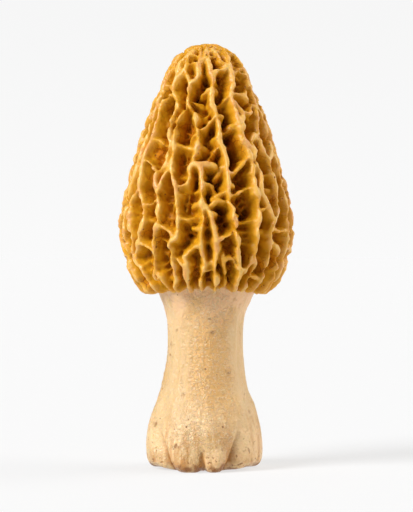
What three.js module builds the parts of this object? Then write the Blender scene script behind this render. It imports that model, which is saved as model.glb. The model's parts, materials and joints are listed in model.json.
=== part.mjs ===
// A true morel: a pitted, ribbed cap grown in one piece with its stem.
// Millimetres, +Z up, origin at the middle of the flat foot. Azimuth 0 faces -Y and grows towards +X.
import * as THREE from "three";
import { mergeVertices } from "three/addons/utils/BufferGeometryUtils.js";

// ---- Driving dimensions -------------------------------------------------------------------------

const CAP_HONEY = 0xd79a3c;
const COLUMNS = 100; // mesh columns round the axis
const CAP_ROWS = 42; // mesh rows from the crown to the seam with the stem
const STEM_ROWS = 14; // mesh rows from the seam to the edge of the foot

const PIT_DEPTH = 3.6; // from the rib crests to the pit floors
const CROWN_PIT_DEPTH = 0.8;
const SEAM_PIT_DEPTH = 0.4;
const CROWN_ZONE = 0.2; // share of the cap's outline over which pits deepen below the crown
const MARGIN_ZONE = 0.2; // share over which they fade above the seam
const CREST_HALF_WIDTH = 0.8;
const WALL_RUN = 1.8; // how far a wall leans out from its crest to the pit floor
const RIB_STEP = 1.0; // longest straight stretch of a rib
const SAMPLES_PER_KNOT = 8; // for measuring a rib's length
const OUTLINE_STEPS = 400;
const SHARE_TOLERANCE = 1e-6;
const WELD_DISTANCE = 1e-3;
const MARGIN_HEIGHT = 43; // a rib that comes below this runs on to the seam

// [radius, height] of the surface that the rib crests lie on, from the crown to the seam.
const CAP_OUTLINE = [
  [0, 100], [3.3, 99.4], [6.2, 97.9], [8.6, 95.1], [11.3, 89.6], [14.3, 82.5], [16.5, 75.5],
  [19.1, 67], [20.5, 60], [20.8, 55.5], [19.7, 50], [18.1, 45.2], [15.8, 41.9], [13.6, 40.9], [11.5, 41.8],
];

// [radius, height] of the stem, from the seam to the edge of the flat foot.
const STEM_OUTLINE = [
  [11.5, 41.8], [10.7, 40], [9.6, 37], [8.95, 33.4], [8.85, 29.5], [9.3, 24.4], [10.3, 19.2],
  [11.9, 14.5], [13.3, 10.5], [13.8, 7], [13.7, 4], [13.1, 1.7], [11.8, 0.3], [10.4, 0],
];

// Creases between the lobes of the swollen foot: where each cuts in, how deep, how high it climbs, and its half
// width in degrees.
const CREASES = [
  { azimuth: -38, depth: 1.5, top: 15, halfWidth: 7 },
  { azimuth: -1, depth: 0.9, top: 10, halfWidth: 4 },
  { azimuth: 28, depth: 1.9, top: 14, halfWidth: 6 },
  { azimuth: 84, depth: 1.4, top: 16, halfWidth: 8 },
  { azimuth: 131, depth: 1.7, top: 12, halfWidth: 6 },
  { azimuth: 176, depth: 1.2, top: 15, halfWidth: 7 },
  { azimuth: 228, depth: 1.6, top: 13, halfWidth: 7 },
  { azimuth: 277, depth: 1.3, top: 14, halfWidth: 8 },
];

// Broad flutes that keep the stem from being round: waves per turn, height in mm, phase and twist in degrees.
const FLUTES = [
  { waves: 2, height: 0.22, phase: 30, twist: 1.0 },
  { waves: 5, height: 0.16, phase: 110, twist: -1.4 },
  { waves: 9, height: 0.1, phase: 10, twist: 2.2 },
];

const FLUTE_RUN_IN = 10; // mm below the seam over which the flutes set in

// ---- The network of ribs: [azimuth in degrees, height] along each crest ---------------------------

// Main ribs stand full height all along.
const MAIN_RIBS = [
  // centre right
  [
    [2, 99.5], [4, 97.5], [4, 95], [4.5, 93.2], [8, 91.5], [9, 90.5], [6.5, 88], [5.5, 86], [7, 84.2],
    [11, 82.7], [10.5, 81.3], [10.8, 78.5], [12.5, 75.8], [17, 73.8], [15.5, 71], [16, 68], [16.5, 65],
    [16.5, 63], [18.5, 60.5], [19.8, 57], [21, 54], [21.5, 51], [22.8, 49], [25, 46.8], [26.5, 44.6],
    [26.5, 42],
  ],
  // centre left
  [
    [-2, 98.6], [-7, 96.2], [-11, 95.4], [-10, 93.6], [-12.5, 91.8], [-17, 91], [-21, 90.2], [-21, 88.2],
    [-19.8, 85.6], [-15, 84.3], [-11, 82.4], [-8.7, 80], [-8, 77], [-8.6, 74.5], [-10, 72.3], [-8, 71.1],
    [-4, 70.3], [-1.6, 68], [-1.6, 66], [-3, 64], [-2.6, 61.6], [0.4, 59.6], [-1.8, 57.4], [-3.3, 55],
    [-4, 51.8], [-1.6, 49.8], [-1, 47.4], [-2.4, 45.6], [-4.6, 44.2], [-6, 42],
  ],
  // centre left, lower right fork
  [[0.4, 59.6], [3.4, 57.8], [5.4, 55.2], [6.6, 53], [7, 50.4], [6.2, 48], [5.7, 46], [7.6, 44], [7, 42]],
  // centre left, lower left fork
  [[-4, 51.8], [-8.5, 50.9], [-13.4, 49.7], [-15.4, 48.2], [-14.3, 46], [-14.3, 44], [-15.6, 42]],
  // left
  [
    [-19.8, 85.6], [-23.5, 83.6], [-27, 81.6], [-29.8, 80.4], [-28.8, 78], [-27.6, 75.5], [-27.6, 72.5],
    [-29.5, 70], [-33, 68.2], [-35.8, 66.2], [-35.4, 64.4],
  ],
  // left, running on to the margin
  [
    [-28.6, 70.6], [-25.5, 68.6], [-22, 66.5], [-20.6, 64.4], [-22, 61.8], [-19.4, 59.6], [-18.8, 57],
    [-19.2, 54.6], [-22.5, 53.4], [-24.8, 52], [-24, 49], [-23.9, 45.6], [-25.4, 42],
  ],
  // outer left
  [
    [-4, 99.2], [-24, 98], [-35, 96.6], [-32.4, 94.6], [-34, 93.2], [-42, 92.3], [-46, 91], [-44, 89],
    [-38.5, 87.5], [-34.6, 86.2], [-33, 84.6], [-35, 82], [-33.8, 79.8], [-31.7, 77], [-31.6, 74],
    [-33.4, 71.2], [-39, 69.5], [-40, 67.6], [-36.6, 64.8], [-34.2, 61.6], [-33.6, 58.6], [-37, 55.8],
    [-38.1, 53], [-38, 50], [-39.8, 47.4], [-42.6, 45.6], [-38.5, 44], [-35, 42],
  ],
  // far left
  [
    [-47, 96.8], [-50, 94], [-46.5, 91.4], [-49, 88.4], [-55.5, 86], [-55.5, 83.6], [-54.4, 81],
    [-52.6, 78.2], [-57, 76], [-59, 73.4], [-56.6, 71.6], [-57, 69], [-57.4, 66], [-53, 64.2], [-49, 62.4],
    [-46.6, 59.6], [-47.2, 57.2], [-49.6, 55], [-53, 53], [-58.4, 51.2], [-60, 49], [-56, 46.9],
    [-52, 44.8], [-49.5, 42],
  ],
  // left flank
  [[-57.4, 66], [-63, 62.8], [-62.4, 60], [-60, 57], [-58, 53.8], [-58.4, 51.2]],
  [
    [-60, 98], [-72, 95.5], [-68, 91], [-66, 87.4], [-67, 83], [-66, 79.6], [-68, 75], [-66, 71],
    [-69.5, 66.5], [-68, 61], [-70, 55], [-67.5, 50], [-70, 46], [-67, 42],
  ],
  // right
  [
    [14, 99.3], [26, 97.6], [30, 94.8], [30.5, 92], [29, 89.6], [30.6, 87.4], [34, 85.8], [38.5, 83.6],
    [35, 82], [34, 80], [33, 77.6], [36.5, 75], [38.5, 72], [38, 69], [37.5, 66], [39, 63.5], [37.5, 60.4],
    [35.6, 56.6], [36.5, 53], [36, 50], [37.6, 47.6], [35.8, 45.4], [39, 43.9], [41, 42],
  ],
  // right, upper feeder
  [[44, 98.2], [40, 96], [37.4, 93], [33, 90.4], [29, 89.6]],
  // outer right
  [
    [51.5, 78.4], [46, 77.8], [43.4, 75.6], [42.2, 73], [44.6, 69.8], [42.4, 67.2], [42.6, 64.6],
    [45.5, 61.7], [50.6, 59.4], [49.4, 57.4], [47.2, 54.2], [47.8, 51.6], [47.5, 48.8], [48.6, 46],
    [46.6, 43.8], [45.5, 42],
  ],
  // far right
  [
    [58, 97.6], [66, 94], [66, 90.4], [58, 89.2], [51.6, 87.6], [55, 86.2], [62.5, 86], [61, 83],
    [55.6, 80], [54.5, 77], [54.4, 75], [59.4, 72.8], [60, 70.4], [58.6, 68.2], [60, 67], [57.2, 64.6],
    [58, 62.4], [54.5, 60], [50.6, 59.4],
  ],
  // right flank
  [[47.2, 54.2], [52, 52.8], [57, 51.6], [61.5, 50.3], [63.4, 47.6], [65.5, 45.6], [64, 42]],
  [
    [80, 98], [79, 94], [73, 89], [72, 85], [73.6, 81], [71, 77.6], [72.4, 74.6], [71, 70], [73, 65.4],
    [71, 60], [73, 54], [68.4, 52], [61.5, 50.3],
  ],
];

// Webs hang between two ribs and sag by `sag` mm in the middle.
const WEBS = [
  { sag: 0.0, path: [[8, 91.6], [13, 92.8], [20, 93.5], [30, 94.6]] },
  { sag: 0.0, path: [[-22, 90.6], [-26.5, 91.8], [-30, 93], [-32.4, 94.6]] },
  { sag: 0.2, path: [[10, 81.8], [5.5, 81.2], [1, 79.8], [-3.5, 79.2], [-8.4, 79.4]] },
  { sag: 0.0, path: [[-10.6, 71.8], [-12.2, 69.8], [-13, 67.8], [-17, 66.3], [-21, 66]] },
  { sag: 0.3, path: [[19.6, 56.6], [17, 55.4], [13, 54.2], [6.6, 53.8]] },
  { sag: 0.9, path: [[29.4, 88], [25, 86.8], [19, 86.2], [13, 85.6], [7, 85.2]] },
  { sag: 0.9, path: [[34, 81.4], [27, 80.4], [20, 79.3], [13, 77.6]] },
  { sag: 0.4, path: [[37.6, 72.6], [31, 72.2], [26, 70.6], [21.5, 69.2], [16, 69.2]] },
  { sag: 0.6, path: [[37.5, 66.2], [31, 65.5], [24, 64.2], [17, 63.6]] },
  { sag: 2.2, path: [[35.8, 58.4], [28, 58], [20, 58.2]] },
  { sag: 0.3, path: [[36.5, 75], [40, 75.2], [43.4, 75.6]] },
  { sag: 0.3, path: [[38.6, 61.4], [42, 61.8], [45.5, 61.7]] },
  { sag: 0.0, path: [[51.5, 78.4], [54.5, 78.8]] },
  { sag: 0.6, path: [[38.5, 83.6], [46, 83.6], [54, 84.2], [61.6, 84.6]] },
  { sag: 1.0, path: [[31.4, 88], [41, 87.7], [51.6, 87.6]] },
  { sag: 1.6, path: [[42.6, 73.6], [49, 73.8], [55, 74.4]] },
  { sag: 1.9, path: [[44.6, 69.4], [52, 69.3], [59.4, 69.6]] },
  { sag: 0.8, path: [[47.6, 55.6], [55, 55.7], [63, 55.8], [72, 56.6]] },
  { sag: 0.4, path: [[59.4, 72.8], [65, 74], [72.2, 75]] },
  { sag: 0.0, path: [[36.6, 48.6], [32, 47.3], [28.6, 46.4], [25.6, 46.2]] },
  { sag: 0.4, path: [[31, 46.8], [29, 44.8], [27.6, 42]] },
  { sag: 0.8, path: [[-16.8, 58.8], [-11, 58.6], [-2, 58.8]] },
  { sag: 0.7, path: [[-33.8, 57.2], [-27, 56.1], [-20, 54.2]] },
  { sag: 0.8, path: [[-27.7, 76.4], [-20, 75.5], [-8.8, 74.8]] },
  { sag: 1.7, path: [[-33.6, 86.6], [-28, 86.4], [-20.6, 86.6]] },
  { sag: 0.2, path: [[-38.5, 87.5], [-44, 87.8], [-50, 88]] },
  { sag: 0.4, path: [[-32, 75.6], [-40, 76.3], [-47, 77], [-53.4, 77.8]] },
  { sag: 0.3, path: [[-39, 69.5], [-45, 70.5], [-51, 71.8], [-57, 72.3]] },
  { sag: 0.3, path: [[-35, 62.8], [-42, 62.5], [-49, 62.4]] },
  { sag: 0.4, path: [[-38.2, 50.8], [-43, 52.1], [-50, 53.4]] },
  { sag: 1.7, path: [[-33.7, 58.6], [-40, 58.3], [-46.8, 58.4]] },
  { sag: 2.0, path: [[-24.2, 50.6], [-29, 49.8], [-37.8, 49.2]] },
  { sag: 1.8, path: [[-25, 68.2], [-20, 68.4], [-13, 67.8]] },
  { sag: 0.5, path: [[-53, 78.2], [-60, 79], [-66, 79.6]] },
  { sag: 0.6, path: [[-59, 73.6], [-63, 72.6], [-66.6, 71.8]] },
  { sag: 0.5, path: [[-63, 62.6], [-66, 61.6], [-68, 61]] },
  { sag: 0.5, path: [[-60, 49.4], [-64, 50.2], [-67.5, 50]] },
  { sag: 0.3, path: [[-24.5, 49.6], [-20, 48.9], [-15.4, 48.2]] },
  { sag: 0.4, path: [[-1, 47.8], [2.5, 48.2], [6.2, 48]] },
  { sag: 1.0, path: [[21.6, 50.4], [17, 49.8], [12.6, 48.8], [14, 45.6], [15.4, 42]] },
  { sag: 0.6, path: [[16.6, 49.6], [19.4, 48.2], [22, 46.4], [25.6, 45.4]] },
  { sag: 0.9, path: [[-11.6, 92.4], [-5, 91.8], [1, 90.6], [7, 89.4]] },
  { sag: 0.2, path: [[-9, 95.6], [-3, 95.2], [4, 95.4]] },
  { sag: 0.4, path: [[4, 97], [14, 97.2], [26, 97.4]] },
  { sag: 0.4, path: [[-12, 95.4], [-24, 96.4], [-35, 96.6]] },
  { sag: 0.5, path: [[-35, 96.4], [-42, 96], [-48, 95.6]] },
];

// One rib fills each gap between the front of the cap and its back.
const SIDE_RIBS = [
  [
    [96, 98.4], [88, 94], [90, 89], [86, 84.4], [89, 79], [86, 73.6], [90, 68], [86.6, 62], [89, 56],
    [85.6, 50.6], [88, 46], [86, 42],
  ],
  [
    [-98, 98.4], [-90, 94.6], [-84, 89.4], [-87, 84], [-83, 78.6], [-87, 72.4], [-84, 66.8], [-88, 61],
    [-84.6, 55], [-87, 49.6], [-84, 45.6], [-86, 42],
  ],
];
const SIDE_WEBS = [
  { sag: 0.4, path: [[73.4, 81.6], [80, 82.8], [86.6, 83.4]] },
  { sag: 0.6, path: [[71.4, 71], [79, 69.8], [88, 70.8]] },
  { sag: 0.3, path: [[72, 62.4], [79, 63.8], [87.4, 63.2]] },
  { sag: 0.7, path: [[72.6, 54.6], [80, 53], [86.6, 52.4]] },
  { sag: 0.4, path: [[66, 45.2], [76, 46.6], [87.6, 46.8]] },
  { sag: 0.5, path: [[88.8, 79.4], [95, 77.6], [102, 78]] },
  { sag: 0.5, path: [[88.4, 66], [95, 65], [103, 66.4]] },
  { sag: 0.4, path: [[88.6, 57], [95, 58.4], [103, 57]] },
  { sag: 0.4, path: [[86, 49.6], [95, 48.4], [104, 50]] },
  { sag: 0.4, path: [[90, 89], [97, 88], [106, 89.4]] },
  { sag: 0.5, path: [[-67, 83.4], [-75, 84.8], [-86.6, 83.2]] },
  { sag: 0.4, path: [[-66.6, 72.4], [-76, 74], [-86.2, 73.6]] },
  { sag: 0.6, path: [[-69, 64], [-77, 63.2], [-85.6, 64.4]] },
  { sag: 0.3, path: [[-70, 55.6], [-77, 57], [-85, 56]] },
  { sag: 0.6, path: [[-68.6, 47.6], [-77, 48.6], [-86, 47.6]] },
  { sag: 0.5, path: [[-84.4, 88.4], [-92, 87], [-99, 88.4]] },
  { sag: 0.4, path: [[-84, 79.6], [-92, 78.4], [-101, 79.6]] },
  { sag: 0.5, path: [[-85, 68], [-93, 69.4], [-101, 68]] },
  { sag: 0.5, path: [[-87, 60], [-94, 58.6], [-102, 60]] },
  { sag: 0.4, path: [[-86, 51.6], [-94, 50.4], [-103, 51.6]] },
];

// The back of the cap carries the same kind of network, wider set and drifting with height.
const BACK_SPREAD = 1.1; // times the front's azimuth
const BACK_DRIFT = 4; // degrees to either side
const BACK_DRIFT_LENGTH = 7; // mm of height for one radian of drift
const BACK_RISE = 1.2; // mm up or down
const BACK_RISE_WAVES = 3; // per turn
const CROWN_HEIGHT = CAP_OUTLINE[0][1];
const CROWN_SPAN = 8; // mm under the crown over which the rise sets in

const radians = THREE.MathUtils.degToRad;
const clamp = THREE.MathUtils.clamp;
const smoothstep = THREE.MathUtils.smoothstep;

// ---- The cap's surfaces -----------------------------------------------------------------------------

const capOutline = new THREE.SplineCurve(CAP_OUTLINE.map(([r, z]) => new THREE.Vector2(r, z)));
capOutline.arcLengthDivisions = OUTLINE_STEPS;

// How deep the pits are at a share of the outline's length, counted from the crown.
function pitDepth(share) {
  const crown = THREE.MathUtils.lerp(CROWN_PIT_DEPTH, PIT_DEPTH, smoothstep(share, 0, CROWN_ZONE));
  return THREE.MathUtils.lerp(SEAM_PIT_DEPTH, crown, smoothstep(1 - share, 0, MARGIN_ZONE));
}

// The point at an azimuth, a share of the outline's length and a depth under the crests.
function capPoint(azimuth, share, depth) {
  const { x: r, y: z } = capOutline.getPointAt(share);
  const along = capOutline.getTangentAt(share);
  const radius = Math.max(r + along.y * depth, 0);
  const height = z - along.x * depth;
  return new THREE.Vector3(radius * Math.sin(azimuth), -radius * Math.cos(azimuth), height);
}

// The share of the outline's length at the margin's lowest ring.
const lowestShare = Array.from({ length: OUTLINE_STEPS + 1 }, (_, i) => i / OUTLINE_STEPS).reduce(
  (low, share) => (capOutline.getPointAt(share).y < capOutline.getPointAt(low).y ? share : low),
);

// The share at a height above that ring, found by halving.
function shareAtHeight(height) {
  let above = 0;
  let below = lowestShare;
  while (below - above > SHARE_TOLERANCE) {
    const middle = (above + below) / 2;
    if (capOutline.getPointAt(middle).y > height) above = middle;
    else below = middle;
  }
  return above;
}

// ---- The ribs ----------------------------------------------------------------------------------------

// Short straight pieces of a rib, each with how far its crest lies under the full height.
function ribPieces(path, crestDepth) {
  const knots = path.map(([azimuth, height]) => new THREE.Vector2(azimuth, shareAtHeight(height)));
  const [lastAzimuth, lastHeight] = path[path.length - 1];
  if (lastHeight < MARGIN_HEIGHT) knots.push(new THREE.Vector2(lastAzimuth, 1));
  const line = new THREE.SplineCurve(knots);
  const onCap = (t) => {
    const knot = line.getPoint(t);
    return capPoint(radians(knot.x), clamp(knot.y, 0, 1), 0);
  };
  const samples = SAMPLES_PER_KNOT * knots.length;
  const rough = Array.from({ length: samples + 1 }, (_, i) => onCap(i / samples));
  const length = rough.slice(1).reduce((sum, point, i) => sum + point.distanceTo(rough[i]), 0);
  const count = Math.max(2, Math.ceil(length / RIB_STEP));
  return Array.from({ length: count }, (_, i) => ({
    line: new THREE.Line3(onCap(i / count), onCap((i + 1) / count)),
    sunk: crestDepth((i + 0.5) / count),
  }));
}

// A rib of the back: the same path half a turn round.
function onBack(path) {
  return path.map(([azimuth, height]) => {
    const drift = BACK_DRIFT * Math.sin(height / BACK_DRIFT_LENGTH);
    const rise = BACK_RISE * Math.sin(radians(BACK_RISE_WAVES * azimuth));
    const share = height > MARGIN_HEIGHT ? smoothstep(CROWN_HEIGHT - height, 0, CROWN_SPAN) : 0;
    return [180 + BACK_SPREAD * azimuth + drift, height + rise * share];
  });
}

function ribNetwork() {
  const pieces = [];
  const fullHeight = () => 0;
  const saddle = (sag) => (t) => sag * Math.sin(Math.PI * t);
  for (const path of MAIN_RIBS) {
    pieces.push(...ribPieces(path, fullHeight), ...ribPieces(onBack(path), fullHeight));
  }
  for (const { sag, path } of WEBS) {
    pieces.push(...ribPieces(path, saddle(sag)), ...ribPieces(onBack(path), saddle(sag)));
  }
  for (const path of SIDE_RIBS) pieces.push(...ribPieces(path, fullHeight));
  for (const { sag, path } of SIDE_WEBS) pieces.push(...ribPieces(path, saddle(sag)));
  return pieces;
}

const ribs = ribNetwork();
const nearest = new THREE.Vector3();

// How far under the crests the surface lies at a point of the crest surface.
function relief(crestPoint, deepest) {
  let depth = deepest;
  for (const { line, sunk } of ribs) {
    line.closestPointToPoint(crestPoint, true, nearest);
    const away = crestPoint.distanceTo(nearest);
    if (away > CREST_HALF_WIDTH + WALL_RUN) continue;
    const wall = smoothstep(away, CREST_HALF_WIDTH, CREST_HALF_WIDTH + WALL_RUN);
    depth = Math.min(depth, THREE.MathUtils.lerp(Math.min(sunk, deepest), deepest, wall));
  }
  return depth;
}

// ---- The stem ----------------------------------------------------------------------------------------

const stemOutline = new THREE.SplineCurve(STEM_OUTLINE.map(([r, z]) => new THREE.Vector2(r, z)));
const SEAM_HEIGHT = STEM_OUTLINE[0][1];

function stemPoint(azimuth, share) {
  const { x: r, y: z } = stemOutline.getPointAt(share);
  const belowSeam = smoothstep(SEAM_HEIGHT - z, 0, FLUTE_RUN_IN);
  let radius = r;
  for (const { waves, height, phase, twist } of FLUTES) {
    radius += belowSeam * height * Math.sin(waves * azimuth + radians(phase + twist * z));
  }
  for (const crease of CREASES) {
    const turned = azimuth - radians(crease.azimuth) + Math.PI;
    const aside = THREE.MathUtils.euclideanModulo(turned, 2 * Math.PI) - Math.PI;
    const across = aside / radians(crease.halfWidth);
    radius -= crease.depth * Math.exp(-across * across) * (1 - smoothstep(z, 0, crease.top));
  }
  return new THREE.Vector3(radius * Math.sin(azimuth), -radius * Math.cos(azimuth), z);
}

// ---- The one solid -------------------------------------------------------------------------------------

// A lathe turned on a plain profile, whose rows are then laid on the real surfaces. The columns go round
// against the azimuth, which keeps the faces pointing out.
function morelGeometry() {
  const rows = CAP_ROWS + STEM_ROWS + 1;
  const profile = Array.from({ length: rows + 1 }, (_, row) => {
    const onAxis = row === 0 || row === rows;
    return new THREE.Vector2(onAxis ? 0 : 1, -row);
  });
  const geometry = new THREE.LatheGeometry(profile, COLUMNS);
  const position = geometry.getAttribute("position");
  const foot = new THREE.Vector3(0, 0, 0);
  for (let column = 0; column <= COLUMNS; column++) {
    const azimuth = -((column % COLUMNS) / COLUMNS) * 2 * Math.PI;
    for (let row = 0; row <= rows; row++) {
      let point = foot;
      if (row <= CAP_ROWS) {
        const share = row / CAP_ROWS;
        point = row === 0 ? capPoint(0, 0, 0) : capPoint(azimuth, share, 0);
        const depth = row === 0 ? 0 : relief(point, pitDepth(share));
        point = capPoint(azimuth, share, row === CAP_ROWS ? 0 : depth);
      } else if (row < rows) {
        point = stemPoint(azimuth, (row - CAP_ROWS) / STEM_ROWS);
      }
      position.setXYZ(column * (rows + 1) + row, point.x, point.y, point.z);
    }
  }
  geometry.deleteAttribute("normal");
  geometry.deleteAttribute("uv");
  const closed = mergeVertices(geometry, WELD_DISTANCE);
  closed.computeVertexNormals();
  return closed;
}

const morel = new THREE.Mesh(
  morelGeometry(),
  new THREE.MeshStandardMaterial({ color: CAP_HONEY, roughness: 0.6, metalness: 0 }),
);
morel.name = "morel";

const group = new THREE.Group();
group.add(morel);

export default group;
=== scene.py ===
"""Dresses a fresh morel mushroom: a ribbed, pitted cap grown in one piece with its waisted stem.

The form starts as a turned body, plain and closed. A chart of ribs is laid over its cap. Node trees sink the
pits between the ribs, wrinkle the skin once it is welded, and mark it for its finish. Tables are in
millimetres and degrees, with azimuth 0 facing -Y and growing towards +X; everything that reaches Blender is
in metres.
"""

import json
import logging
import math
from dataclasses import dataclass, field
from enum import Enum

import bpy
import numpy as np
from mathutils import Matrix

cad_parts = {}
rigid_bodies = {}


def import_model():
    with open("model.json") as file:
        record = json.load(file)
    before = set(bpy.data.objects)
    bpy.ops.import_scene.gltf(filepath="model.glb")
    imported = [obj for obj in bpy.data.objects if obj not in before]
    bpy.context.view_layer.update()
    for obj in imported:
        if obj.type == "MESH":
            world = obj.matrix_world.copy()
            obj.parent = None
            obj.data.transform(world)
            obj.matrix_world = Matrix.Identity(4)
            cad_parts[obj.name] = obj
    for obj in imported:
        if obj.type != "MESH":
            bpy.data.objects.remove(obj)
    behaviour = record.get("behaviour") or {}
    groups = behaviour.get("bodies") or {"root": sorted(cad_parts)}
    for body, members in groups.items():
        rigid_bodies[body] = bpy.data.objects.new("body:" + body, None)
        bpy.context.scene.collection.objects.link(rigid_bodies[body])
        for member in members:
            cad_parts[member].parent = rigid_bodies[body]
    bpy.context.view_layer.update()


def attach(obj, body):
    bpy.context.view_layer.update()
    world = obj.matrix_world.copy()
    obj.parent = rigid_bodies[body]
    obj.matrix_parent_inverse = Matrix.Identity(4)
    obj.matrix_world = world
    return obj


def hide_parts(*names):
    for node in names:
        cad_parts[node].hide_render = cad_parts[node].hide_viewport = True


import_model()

log = logging.getLogger("morel")

MM = 0.001
NODE = "morel"
BODY = "root"
NOISE_MIDDLE = 0.5

Point = tuple[float, float]
Span = tuple[float, float]
Stretch = tuple[float, float, float]
Sags = tuple[float, float, float]
Colour = tuple[float, float, float]

# The crumbs on the stem are wider than they are tall.
CRUMB_SHAPE: Stretch = (0.75, 0.75, 1.4)


class RibKind(Enum):
    """How a rib stands among the others: half its crest's width and its walls' run, in millimetres."""

    MAIN = (0.46, 1.7)
    WEB = (0.36, 1.2)
    STUB = (0.50, 1.0)

    @property
    def half_width(self) -> float:
        """Gives half the width of the crest."""
        return self.value[0]

    @property
    def wall_run(self) -> float:
        """Gives how far the walls reach out from the crest."""
        return self.value[1]

    @property
    def label(self) -> str:
        """Gives the name of the ribs of this kind."""
        return f"{self.name.title()} Ribs"


@dataclass(frozen=True)
class Rib:
    """One rib of the cap, as the line of its crest.

    The path runs over the cap as (azimuth, height). The sags say how far the crest lies under the outline at
    its start, its middle and its end.
    """

    kind: RibKind
    path: tuple[Point, ...]
    sags: Sags = (0.0, 0.0, 0.0)


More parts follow.
